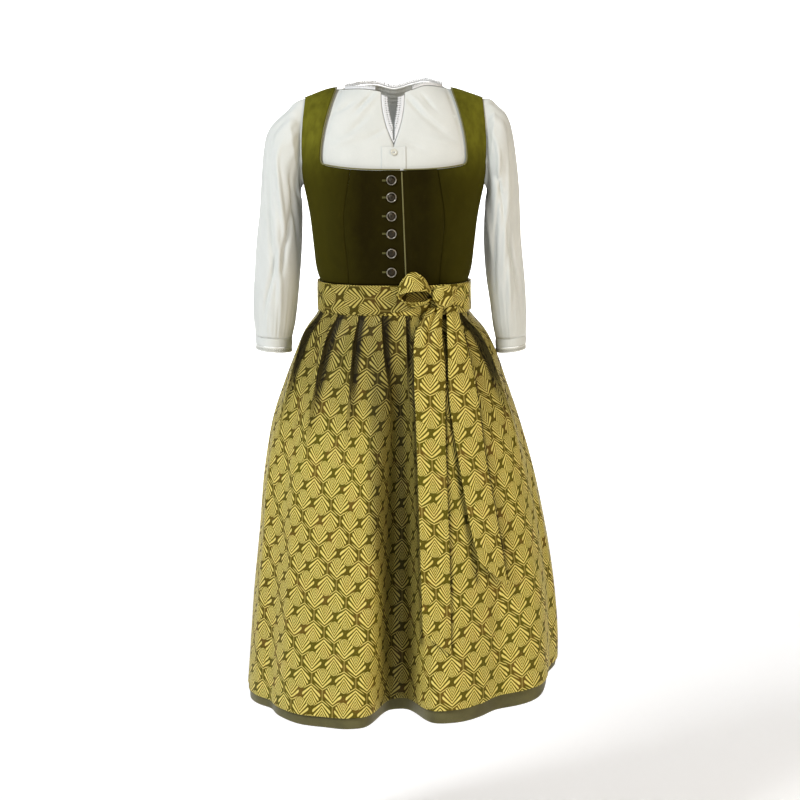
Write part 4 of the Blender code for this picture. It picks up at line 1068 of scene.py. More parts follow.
@dataclass
class Bodice:
    """The velvet bodice: seven panels with straps cut on, piping, and six metal buttons."""

    room: Workroom
    torso: Torso
    cloth: float = 0.0016
    seam: float = 0.0003
    roll: float = 0.0022
    roll_sink: float = 0.0009
    lap_over: tuple[float, float] = (0.0198, 0.0119)
    lap_under: float = -0.014
    lap_sink: float = 0.0020
    lap_flat: float = 0.0045
    piping: float = 0.0013
    corner: float = 0.0100
    strap_length: float = 0.150
    lane_width: float = 0.105
    button_radius: float = 0.0086
    button_x: float = -0.004
    button_heights: tuple[float, ...] = (-0.1536, -0.1822, -0.2141, -0.2444, -0.2786, -0.3121)
    creases: Rows = field(default_factory=lambda: table(
        "x z lean length width out",
        (-0.045, -0.322, 0.9, 0.055, 0.0050, -0.0011),
        (0.050, -0.318, -1.1, 0.060, 0.0055, -0.0012),
        (-0.062, -0.296, 0.5, 0.048, 0.0045, 0.0008), (0.030, -0.300, -0.6, 0.040, 0.0045, 0.0008),
        (-0.100, -0.305, -0.7, 0.060, 0.0060, -0.0013),
        (0.105, -0.300, 0.8, 0.060, 0.0060, -0.0013),
        (-0.110, -0.190, 1.3, 0.060, 0.0065, -0.0012),
        (0.115, -0.188, -1.3, 0.055, 0.0060, -0.0012),
        (-0.040, -0.170, -0.8, 0.040, 0.0050, -0.0007),
        (0.045, -0.165, 0.7, 0.040, 0.0050, -0.0007)))

    def edge_x(self, z: Array) -> Array:
        """x of the right front's free edge."""
        rise = (z - self.torso.waist_z) / (self.torso.neckline_z - self.torso.waist_z)
        return between(*self.lap_over, rise)

    def creased(self, points: Array) -> Array:
        """Depth of the soft creases of wear, by where each point is."""
        x, z = points[..., 0], points[..., 2]
        total = np.zeros_like(x)
        for at_x, at_z, lean, length, width, out in zip(*self.creases.values()):
            run = np.hypot(1.0, lean)
            ahead = ((z - at_z) + lean * (x - at_x)) / run
            off = ((x - at_x) - lean * (z - at_z)) / run
            total = total + out * bump(off, width) * bump(ahead, length / 2)
        return total * (points[..., 1] < 0.01) + 0.6 * total[..., ::-1] * (points[..., 1] > 0.02)

    def rolled(self, distance: Array) -> Array:
        """How far a seamed edge dips, by its distance from the seam in metres."""
        return self.roll_sink * bump(np.abs(distance), self.roll)

    def lay(self, form: Callable[[Array, Array], Array], direction: Array, height: Array,
            sink: Array) -> Array:
        """Points on the form, sunk, with the creases of wear."""
        flat = moved_out(form, direction, height, np.zeros_like(sink))
        return moved_out(form, direction, height, self.creased(flat) - sink)

    def front(self, word: str, side: int) -> None:
        """A centre front; the left dips to lap under the right."""
        torso = self.torso
        far = spread((0, 0.06, 5), (0.06, 0.94, 34), (0.94, 1.0, 5))

        def place(s: Array, t: Array) -> Array:
            s = along(s, far)
            z = between(torso.waist_z + 0.0001, torso.neckline_z, t)
            seam_x = side * (column(torso.princess, "x", z) - self.seam / 2)
            edge_x = self.edge_x(z)
            if side < 0:
                x = between(seam_x, edge_x, s)
                edge = np.abs(x - edge_x)
                sink = self.rolled(x - seam_x) + 0.0005 * bump(edge, 0.0014)
            else:
                x = between(seam_x, np.full_like(z, self.lap_under), s)
                dip = ease((edge_x + 3 * self.lap_flat - x) / (2 * self.lap_flat))
                sink = self.rolled(x - seam_x) + self.lap_sink * dip
            holes = sum(bump(z - h, 0.006) for h in self.button_heights)
            sink = sink + 0.0004 * holes * bump(x - self.button_x, 0.016)
            top = 0.0006 * bump(z - torso.neckline_z, 0.002)
            return self.lay(torso.form, torso.direction_at(x, z), z, sink + top)

        piece = self.room.cloth(f"velvet_front_{word}", len(far) - 1, 70, place, "velvet",
                                "green_velvet", self.cloth, [f"bodice_front_{word}"])
        declare(piece, Held.STRETCHED)

    def side_panel(self, word: str, side: int, behind: bool) -> None:
        """A side front or side back with its half of the strap cut on."""
        torso = self.torso
        level = torso.back_neckline_z if behind else torso.neckline_z
        form = torso.back if behind else torso.front
        inner, outer = torso.lane(torso.strap_inner, level), torso.lane(torso.strap_outer, level)
        seam_lane = torso.lane(torso.princess["x"][-1], level)
        share_cut = (inner - seam_lane) / (outer - seam_lane)
        columns, low_rows, high_rows, cut = 40, 56, 60, 0.5
        low = low_rows / (low_rows + high_rows)

        def place(s: Array, t: Array) -> Array:
            height = climb(t, torso.waist_z + 0.0001, level, low)
            z = np.minimum(height, level)
            seam = torso.direction_at(column(torso.princess, "x", z) + self.seam / 2, z)
            edge = torso.armhole(height, level, outer) - 0.0006
            rise = np.where(height > level, height * self.strap_length, 0.0)
            near = np.clip(1 - rise / self.corner, 0, 1)
            fillet = (1 - np.sqrt(1 - near ** 2)) * ease(1 - (level - z) / 0.03)
            split = share_cut - self.corner / self.lane_width * fillet * (not behind)
            share = np.where(s < cut, s / cut * split,
                             split + (s - cut) / (1 - cut) * (1 - split))
            direction = between(seam, edge, share)
            height = np.where(t >= 1, 0.9988, height)
            on_strap = height > level
            gap_in = np.where(on_strap, (share - share_cut) * 0.045, share * 0.09)
            gap_out = (1 - share) * np.where(on_strap, 0.045, 0.09)
            below = np.where(on_strap | (share > share_cut), 1.0, (level - z))
            sink = self.rolled(gap_in) * (1 - 0.4 * on_strap) + self.rolled(gap_out) * 0.8
            sink = sink + 0.0006 * bump(below, 0.002)
            turned = side * (math.pi - direction if behind else direction)
            points = self.lay(form, turned, height, sink)
            return points

        def trimmed(s: float, t: float) -> bool:
            return t > low and s < cut

        base = "side_back" if behind else "side_front"
        mesh_turn = (side < 0) != behind

        def turned_place(s: Array, t: Array) -> Array:
            return place(1 - s, t) if mesh_turn else place(s, t)

        def turned_notch(s: float, t: float) -> bool:
            return trimmed(1 - s, t) if mesh_turn else trimmed(s, t)

        piece = self.room.cloth(
            f"velvet_{base}_{word}", columns, low_rows + high_rows, turned_place, "velvet",
            "green_velvet", self.cloth, [f"bodice_{base}_{word}"], turned_notch)
        declare(piece, Held.STRETCHED)

    def back(self) -> None:
        """The centre back, between the side backs."""
        torso = self.torso

        def place(s: Array, t: Array) -> Array:
            z = between(torso.waist_z + 0.0001, torso.back_neckline_z, t)
            seam = torso.direction_at(column(torso.princess, "x", z) - self.seam / 2, z)
            direction = math.pi + (s - 0.5) * 2 * seam
            gap = np.minimum(s, 1 - s) * 0.17
            sink = self.rolled(gap) + 0.0006 * bump(z - torso.back_neckline_z, 0.002)
            sink = sink + 0.0008 * bump(s - 0.5, 0.01)
            return self.lay(torso.form, direction, z, sink)

        piece = self.room.cloth("velvet_back", 60, 70, place, "velvet", "green_velvet",
                                self.cloth, ["bodice_back"])
        declare(piece, Held.STRETCHED)

    def pipings(self) -> None:
        """Satin piping along the neckline and the straps' inner edges, and down the front."""
        torso = self.torso
        inner = torso.lane(torso.strap_inner, torso.neckline_z)
        clear = 1.5 * self.seam + self.piping
        for side, word in ((-1, "right"), (1, "left")):
            middle = self.lap_over[1] + (-0.0010 if side < 0 else 2 * clear + 0.0012)
            start = torso.lane(middle, torso.neckline_z)
            run = np.linspace(start, side * (inner - 0.078), 40)
            neck = moved_out(torso.form, run, np.full_like(run, torso.neckline_z),
                             np.full_like(run, -self.cloth / 2))
            neck[..., 2] += clear
            rise = np.linspace(0.066, 0.98, 60)
            strap = moved_out(torso.front, np.full_like(rise, side * inner), rise,
                              np.full_like(rise, -self.cloth / 2))
            strap[..., 0] -= side * clear
            turn = np.linspace(0, 1, 9)[1:-1, None]
            knee = np.array([strap[0, 0], (neck[-1, 1] + strap[0, 1]) / 2, neck[-1, 2]])
            bend = (neck[-1] * (1 - turn) ** 2 + knee * 2 * turn * (1 - turn)
                    + strap[0] * turn ** 2)
            line = np.concatenate([neck, bend, strap])
            self.room.strand(f"piping_{word}", line, self.piping, "piping", "satin_piping",
                             [f"piping_neck_{word}"])
        z = np.linspace(-0.3335, torso.neckline_z - 0.002, 60)
        line = moved_out(torso.form, torso.direction_at(self.edge_x(z), z), z,
                         np.full_like(z, clear - self.lap_sink))
        line[..., 0] += clear
        self.room.strand("piping_edge", line, self.piping, "piping", "satin_piping",
                         ["piping_front_edge"])

    def buttons(self) -> None:
        """Pewter buttons with a raised rim and a chased dome, and a worked buttonhole by each."""
        torso, r = self.torso, self.button_radius
        rim = [(0.0, 0.0), (r * 0.90, 0.0), (r * 0.97, 0.0005), (r, 0.0014), (r * 0.99, 0.0023),
               (r * 0.96, 0.0031), (r * 0.91, 0.0034), (r * 0.86, 0.0031), (r * 0.83, 0.0023),
               (r * 0.82, 0.0014), (0.0, 0.0012)]
        dome = [(0.0, 0.0014), (r * 0.80, 0.0014), (r * 0.74, 0.0019), (r * 0.60, 0.0027),
                (r * 0.40, 0.0037), (r * 0.22, 0.0042), (0.0, 0.0043)]
        stitches = []
        for number, z in enumerate(self.button_heights, start=1):
            at = torso.direction_at(np.float64(self.button_x), np.float64(z)), np.float64(z)
            foot = moved_out(torso.form, *at, np.float64(0.0006))
            facing = Vector(moved_out(torso.form, *at, np.float64(1.0)) - foot)
            facing.normalize()
            rim_mesh = self.room.turned(f"button_rim_{number}", rim, Vector(foot), facing)
            self.room.add(f"button_rim_{number}", rim_mesh, "rim", "button_metal",
                          [f"button_{number}"])
            dome_mesh = self.room.turned(f"button_dome_{number}", dome, Vector(foot), facing)
            self.chase(dome_mesh, Vector(foot), facing)
            self.room.add(f"button_dome_{number}", dome_mesh, "dome", "button_metal")
            for row in (-1, 0, 1):
                x = np.linspace(self.button_x - r - 0.0075, self.button_x - r + 0.0008, 6)
                height = np.full_like(x, z + row * 0.0011)
                stitches.append(moved_out(torso.form, torso.direction_at(x, height), height,
                                          np.full_like(x, 0.0002)))
        mesh = self.room.tubes("buttonhole_stitches", stitches, 0.00050, 6)
        self.room.add("buttonhole_stitches", mesh, "stitch", "satin_piping")

    @staticmethod
    def chase(mesh: bpy.types.Mesh, foot: Vector, facing: Vector) -> None:
        """Raises eight petals on a button's dome."""
        across = facing.orthogonal().normalized()
        up = facing.cross(across)
        for vertex in mesh.vertices:
            arm = vertex.co - foot
            height = arm.dot(facing)
            x, y = arm.dot(across), arm.dot(up)
            reach = math.hypot(x, y)
            petal = math.cos(8 * math.atan2(y, x))
            if height > 0.0015:
                vertex.co += facing * 0.00035 * petal * math.sin(min(reach / 0.0055, 1) * math.pi)

    def build(self) -> None:
        """All of the bodice."""
        for side, word in ((-1, "right"), (1, "left")):
            self.front(word, side)
            self.side_panel(word, side, False)
            self.side_panel(word, side, True)
        self.back()
        self.pipings()
        self.buttons()


# ------------------------------------------------------------------ skirt and apron

@dataclass
class DressSkirt:
    """The dark skirt that shows under the apron's hem and behind."""

    room: Workroom
    form: SkirtForm
    cloth: float = 0.0014
    gathers: float = 46.0
    gather_depth: float = 0.0016

    def build(self) -> None:
        """Its front and its back, seamed at the sides, with a turned hem."""
        hem, top = self.form.hem_z, -0.3361
        heights = spread((hem, hem + 0.006, 4), (hem + 0.006, -0.47, 76), (-0.47, top, 30))
        for word, start, end, behind in (("front", -89.9, 89.9, False),
                                         ("back", 90.1, 269.9, True)):
            steps = 190 if behind else 160

            def place(s: Array, t: Array) -> Array:
                z = along(t, heights)
                degrees = between(start, end, s)
                direction = np.radians(degrees)
                near_band = ease((z + 0.60) / 0.26)
                ripple = np.sin(np.radians(degrees) * self.gathers + 1.3 * np.sin(z * 31))
                uneven = 0.6 + 0.4 * np.sin(direction * 7.3 + z * 9)
                gather = self.gather_depth * ripple * uneven * near_band * behind
                wave = 0.0035 * np.sin(direction * 23 + 2.0 * np.sin(direction * 5)) * behind
                fine = wave * ease((-0.48 - z) / 0.3)
                fine = fine * ease((degrees - 116) / 8) * ease((255 - degrees) / 8)
                roll = -0.0007 * bump(z - hem, 0.0025)
                points = moved_out(self.form.form, direction, z, gather + fine + roll)
                return self.form.lifted(points, direction, hem, "skirt")

            piece = self.room.cloth(f"skirt_cloth_{word}", steps, len(heights) - 1, place,
                                    "skirt", "skirt_cloth", self.cloth, [f"skirt_{word}"])
            declare(piece, Held.GATHERED)


@dataclass
class Apron:
    """The jacquard apron: its pleated panel, band, ties, knot, loop and two tails."""

    room: Workroom
    torso: Torso
    form: ApronForm
    cloth: float = 0.0012
    band_cloth: float = 0.0014
    tie_cloth: float = 0.0011
    band_top: float = -0.336
    band_bottom: float = -0.3885
    band_out: float = 0.0022
    band_reach: float = math.radians(106)
    lower_out: float = 0.0040
    upper_out: float = 0.0055
    tie_at_knot: float = 0.0120
    knot_x: float = 0.0800
    knot_z: float = -0.3545
    knot_half: tuple[float, float, float] = (0.0165, 0.0078, 0.0172)
    long_tail: Rows = field(default_factory=lambda: table(
        "z inner outer",
        (-0.965, 0.0500, 0.0985), (-0.850, 0.0470, 0.0975), (-0.700, 0.0425, 0.0925),
        (-0.560, 0.0380, 0.0885), (-0.480, 0.0350, 0.0880), (-0.410, 0.0400, 0.0830),
        (-0.374, 0.0600, 0.0840)))
    short_tail: Rows = field(default_factory=lambda: table(
        "z inner outer",
        (-0.857, 0.1480, 0.1985), (-0.760, 0.1300, 0.1810), (-0.640, 0.1110, 0.1600),
        (-0.520, 0.0950, 0.1420), (-0.440, 0.0920, 0.1250), (-0.374, 0.0900, 0.1080)))
    tail_off: float = 0.0145
    hem_rows: int = 8            # rows at the hem whose width is the panel's
    tuck_share: float = 0.16     # how much of a pleat's width hides the cloth tucked under it
    tuck_foot_z: float = -0.66
    tuck_fade: float = 0.16
    loop: Rows = field(default_factory=lambda: table(
        "front_x front_z front_out back_x back_z back_out",
        (0.0590, -0.3490, 0.0110, 0.0600, -0.3430, 0.0062),
        (0.0460, -0.3445, 0.0250, 0.0500, -0.3230, 0.0062),
        (0.0230, -0.3455, 0.0300, 0.0290, -0.3135, 0.0062),
        (0.0075, -0.3525, 0.0250, 0.0105, -0.3400, 0.0062),
        (0.0230, -0.3610, 0.0310, 0.0240, -0.3700, 0.0064),
        (0.0460, -0.3605, 0.0270, 0.0460, -0.3690, 0.0064),
        (0.0590, -0.3560, 0.0120, 0.0600, -0.3620, 0.0064)))

    def panel(self) -> None:
        """The panel, its flat width kept all the way up by tucking cloth under each pleat."""
        form = self.form
        heights = spread((form.hem_z, form.hem_z + 0.004, 3), (form.hem_z + 0.004, -0.62, 92),
                         (-0.62, form.top_z, 72))
        numbers = self.lines()

        def place(s: Array, t: Array) -> Array:
            points = form.place(along(s, numbers), along(t, heights), self.cloth)
            points[..., 2] = np.minimum(points[..., 2], self.band_bottom + 0.0006)
            return points

        def flat(s: Array, t: Array, points: Array) -> tuple[Array, Array]:
            steps = np.linalg.norm(np.diff(points, axis=1), axis=-1)
            degrees = along(s, numbers)
            middle = (degrees[:, 1:] + degrees[:, :-1]) / 2
            z = along(t, heights)[:, 1:]
            full = steps[:self.hem_rows].mean(0)
            weight = np.full_like(steps, 1e-6)
            edges = list(zip(form.pleats["band"], form.pleats["turn"], form.pleats["width"]))
            for band, turn, width in edges:
                past = (middle - band) * turn / width
                weight = weight + np.where((past > 0.0) & (past < self.tuck_share), 1.0, 0.0)
            sheer = ease((z - self.tuck_foot_z) / self.tuck_fade)
            bounds = np.array([-200.0, *[b + t_ * w * 0.3 for b, t_, w in edges], 200.0])
            bounds.sort()
            grown = steps.copy()
            for low, high in zip(bounds, bounds[1:]):
                inside = (middle[0] >= low) & (middle[0] < high)
                if not inside.any():
                    continue
                short = full[inside].sum() - steps[:, inside].sum(1)
                local = weight[:, inside] / weight[:, inside].sum(1, keepdims=True)
                even = steps[:, inside] / steps[:, inside].sum(1, keepdims=True)
                mixed = between(even, local, sheer[:, inside])
                grown[:, inside] += short[:, None] * mixed
            across = np.concatenate([np.zeros((len(points), 1)), np.cumsum(grown, 1)], 1)
            across -= across[:, [across.shape[1] // 2]]
            return across, self.room.lengths(s, t, points)[1]

        columns, rows = len(numbers) - 1, len(heights) - 1
        piece = self.room.cloth("apron_cloth", columns, rows, place, "jacquard", "jacquard",
                                self.cloth, ["apron_panel"], flat=flat)
        s, t = np.meshgrid(np.linspace(0, 1, columns + 1), np.linspace(0, 1, rows + 1))
        # Painted shade and painted shadow, written as a per-point attribute for the jacquard's
        # colour.
        self.room.mark(piece.data, "painted_shade", columns, rows,
                       self.painted_shade(along(s, numbers), along(t, heights), place(s, t)))
        declare(piece, Held.GATHERED)

    def painted_shade(self, degrees: Array, z: Array, points: Array) -> Array:
        """Painted shade at each point, 0 to 1: by pleat folds, tails, valley and upper panel."""
        form = self.form
        total = np.zeros_like(z)
        for band, turn, width, free_z in zip(form.pleats["band"], form.pleats["turn"],
                                             form.pleats["width"], form.pleats["free_z"]):
            # Painted shadow past each pleat's fold: a dark line at the fold's edge and a wider fade,
            # both gone lower down.
            past = (degrees - band) * turn / width
            under = ease((past + 0.02) / 0.06) * ease((0.75 - past) / 0.70)
            down = (form.top_z - z) / (form.top_z - free_z)
            total = np.maximum(total, 0.80 * under * ease((0.95 - down) / 0.8))
            line = ease((past + 0.02) / 0.04) * ease((0.85 - 0.45 * down - past) / 0.38)
            total = np.maximum(total, 0.98 * line * ease((0.95 - down) / 0.55))
        x, y = points[..., 0], points[..., 1]
        # Painted shadow on the apron along both edges of each tail.
        for tail in (self.long_tail, self.short_tail):
            painted_tail_shadow = bump(x - column(tail, "inner", z) + 0.002, 0.0040)
            painted_tail_shadow = np.maximum(painted_tail_shadow, bump(x - column(tail, "outer", z) - 0.001, 0.0030))
            span = ease((z - tail["z"][0] + 0.004) / 0.010) * ease((-0.40 - z) / 0.03)
            total = np.maximum(total, 0.94 * painted_tail_shadow * span * (y < 0))
        # Painted shade deep in the front valley, lower down the panel.
        deep = ease((y + 0.190 + 0.10 * ease((z + 0.95) / 0.5)) / 0.060)
        valley = deep * ease((0.055 - np.abs(x - 0.002)) / 0.022) * ease((-0.40 - z) / 0.12)
        # Painted shade over the upper panel, heavier towards the wearer's right.
        painted_upper_shade = (0.42 + 0.22 * ease((0.03 - x) / 0.06)) * ease((z + 0.66) / 0.24)
        return 1 - (1 - total) * (1 - 0.75 * valley) * (1 - painted_upper_shade)

    def lines(self) -> Array:
        """Numbers of the grid's lines: close together past each pleat's fold."""
        low, high = (float(self.form.number(np.float64(d))) for d in self.form.reach)
        fine = [np.linspace(low, high, 190)]
        for band, turn, width in zip(self.form.pleats["band"], self.form.pleats["turn"],
                                     self.form.pleats["width"]):
            fine.append(band + turn * width * np.linspace(-0.10, 0.30, 11))
        lines = np.unique(np.round(np.concatenate(fine), 3))
        keep = np.concatenate([[True], np.diff(lines) > 0.035])
        return lines[keep]

    def band(self) -> None:
        """The waistband, with a stitched top edge and slight pulls across it."""
        def place(s: Array, t: Array) -> Array:
            direction = (s * 2 - 1) * self.band_reach
            z = between(self.band_bottom, self.band_top, t)
            pull = 0.0005 * np.sin(direction * 17 + t * 3) * np.sin(t * math.pi)
            pull = pull + 0.0004 * np.sin(direction * 41 + t * 5)
            edge = -0.0004 * (bump(t - 1, 0.03) + bump(t, 0.03)) - 0.0003 * bump(t - 0.93, 0.015)
            return moved_out(self.torso.belt, direction, z,
                             self.band_out + self.band_cloth + pull + edge)

        piece = self.room.cloth("apron_band", 160, 20, place, "jacquard_sideways", "jacquard",
                                self.band_cloth, ["apron_waistband"])
        declare(piece, Held.STRETCHED)

    def ties(self) -> None:
        """The two ties round the back and forward to the knot, creased where they narrow."""
        at_knot = self.torso.direction_at(np.float64(self.knot_x), np.float64(self.torso.waist_z))
        spans = {"right": (at_knot - 0.05, self.band_reach + 0.01 - math.tau, self.lower_out, 0.75),
                 "left": (at_knot + 0.05, math.tau - self.band_reach - 0.01, self.upper_out, 0.70)}
        for word, (begin, end, out_behind, narrows) in spans.items():
            flip = end < begin

            def place(s: Array, t: Array) -> Array:
                direction = between(begin, end, 1 - s if flip else s)
                narrow = 1 - ease(np.abs(direction - begin) / narrows)
                low = between(self.band_bottom + 0.0015, self.knot_z - self.tie_at_knot, narrow)
                high = between(self.band_top - 0.0010, self.knot_z + self.tie_at_knot, narrow)
                behind = ease((np.abs(direction) - self.band_reach + 0.5) / 0.3)
                out = between(self.lower_out, out_behind, behind) + self.tie_cloth
                fan = np.sin(t * 19 + direction * 2) * 0.0018 * ease(narrow * 1.3)
                slack = 0.0004 * np.sin(direction * 13 + t * 4)
                hem = -0.0003 * (bump(t - 0.94, 0.012) + bump(t - 0.06, 0.012))
                return moved_out(self.torso.belt, direction, between(low, high, t),
                                 out + np.maximum(fan, -0.0002) + np.maximum(slack, -0.0002) + hem)

            columns, rows = 280, 20
            piece = self.room.cloth(f"tie_cloth_{word}", columns, rows, place, "jacquard_sideways",
                                    "jacquard", self.tie_cloth, [f"tie_{word}"])
            s, t = np.meshgrid(np.linspace(0, 1, columns + 1), np.linspace(0, 1, rows + 1))
            # Painted shade along the middle of each tie near the knot, where it gathers; the right
            # tie is also made darker all along.
            near = 1 - ease(np.abs((1 - s if flip else s) * (end - begin)) / narrows)
            self.room.mark(piece.data, "painted_shade", columns, rows, (0.50 if word == "right" else 0.0)
                           + near * bump(t - 0.46, 0.10) * 0.45)
            declare(piece, Held.STRETCHED)

    def tail_form(self, x: Array, z: Array) -> Array:
        """Where a tail rests: clear of the skirt's folds and the apron's pleats."""
        skirt = self.form.skirt.sections
        power = column(skirt, "power", z)
        share = np.clip(x / column(skirt, "left", z), 0, 0.999)
        depth = column(skirt, "front", z) * (1 - share ** power) ** (1 / power)
        return stack(x, -depth - self.tail_off, z)

    def tail(self, word: str, rows: Rows, point: float, out: float, folds: Rows) -> None:
        """A hanging tail with a slanted end, hemmed edges and its own long folds."""
        bottom, top = rows["z"][0], rows["z"][-1]

        def place(s: Array, t: Array) -> Array:
            z = between(bottom, top, t)
            x = between(column(rows, "inner", z), column(rows, "outer", z), s)
            lift = np.zeros_like(x)
            for at, top_at, foot_at, width, deep in zip(*folds.values()):
                fade = ease((t - foot_at) / max(top_at - foot_at, 1e-3))
                lift = lift + deep * fade * bump(s - at, width)
            lift = lift + 0.0012 * np.sin(z * 26 + s * 2.0) * ease((top - z) / 0.1)
            hem = -0.0004 * (bump(s - 0.95, 0.012) + bump(s - 0.05, 0.012))
            return moved_out(self.tail_form, x, z + point * (1 - s) * (1 - t) ** 3,
                             out + self.tie_cloth + np.maximum(lift, -0.0030) + hem)

        piece = self.room.cloth(f"tail_cloth_{word}", 30, 180, place, "jacquard", "jacquard",
                                self.tie_cloth, [f"tail_{word}"])
        declare(piece, Held.HUNG)

    def bow(self) -> None:
        """The knot with its wound folds, and the one loop."""
        out = self.upper_out + self.tie_cloth
        torso = self.torso
        centre = torso.on_belt(self.knot_x, np.float64(self.knot_z),
                               np.float64(out + self.knot_half[1] + 0.0003))
        facing = centre - torso.on_belt(self.knot_x, np.float64(self.knot_z), np.float64(out))
        facing /= np.linalg.norm(facing)
        sideways = np.array([-facing[1], facing[0], 0.0])

        def knot(s: Array, t: Array) -> Array:
            turn, tilt = s * math.tau, (t - 0.5) * math.pi * 0.999
            swirl = np.abs(np.sin(turn * 1.5 + tilt * 2.4 + 0.6 * np.sin(turn))) ** 0.6
            size = 0.98 + 0.20 * swirl + 0.035 * np.sin(turn * 5 - tilt * 2)
            across = np.cos(turn) * np.cos(tilt)
            deep = np.sin(turn) * np.cos(tilt)
            up = np.sin(tilt)
            parts = [h * np.sign(c) * np.abs(c) ** 0.8 * size
                     for h, c in zip(self.knot_half, (across, deep, up))]
            return (centre + parts[0][..., None] * sideways + parts[1][..., None] * -facing
                    + parts[2][..., None] * np.array([0.0, 0.0, 1.0]))

        mesh = self.room.grid("bow_knot_cloth", 90, 60, knot)
        bm = bmesh.new()
        bm.from_mesh(mesh)
        bmesh.ops.remove_doubles(bm, verts=bm.verts[:], dist=2e-5)
        bmesh.ops.recalc_face_normals(bm, faces=bm.faces[:])
        bm.to_mesh(mesh)
        bm.free()
        self.room.add("bow_knot_cloth", mesh, "jacquard_sideways", "jacquard", ["bow_knot"])

        def edge(word: str, t: Array) -> Array:
            at = np.linspace(0, 1, len(self.loop["front_x"]))
            return torso.on_belt(*(smooth(t, at, self.loop[f"{word}_{axis}"])
                                   for axis in ("x", "z", "out")))

        def place(s: Array, t: Array) -> Array:
            s = 1 - s
            across = edge("back", t) - edge("front", t)
            step = edge("front", np.clip(t + 0.02, 0, 1)) - edge("front", np.clip(t - 0.02, 0, 1))
            normal = np.cross(across, step)
            normal /= np.linalg.norm(normal, axis=-1, keepdims=True)
            gathered = 1 - np.sin(np.clip(t, 0, 1) * math.pi)
            ripple = 0.0013 * np.sin(s * 9.5) * gathered + 0.0008 * np.sin(s * 5 + t * 7)
            return (edge("front", t) + across * s[..., None]
                    + normal * (self.tie_cloth + ripple)[..., None])

        piece = self.room.cloth("bow_loop_cloth", 30, 110, place, "jacquard_sideways", "jacquard",
                                self.tie_cloth, ["bow_loop"])
        declare(piece, Held.FOLDED)

    def build(self) -> None:
        """All of the apron."""
        self.panel()
        self.band()
        self.ties()
        self.bow()
        self.tail("long", self.long_tail, 0.040, 0.0, table(
            "at top_at foot_at width deep",
            (0.28, 0.98, 0.74, 0.16, 0.0050), (0.74, 0.98, 0.70, 0.15, 0.0045),
            (0.50, 0.98, 0.78, 0.07, -0.0040), (0.35, 0.60, 0.10, 0.20, 0.0016)))
        self.tail("short", self.short_tail, 0.046, self.tie_cloth + 0.0003, table(
            "at top_at foot_at width deep",
            (0.30, 0.97, 0.66, 0.17, 0.0034), (0.80, 0.97, 0.80, 0.14, 0.0030),
            (0.60, 0.70, 0.20, 0.20, 0.0018)))


# ------------------------------------------------------------------ blouse

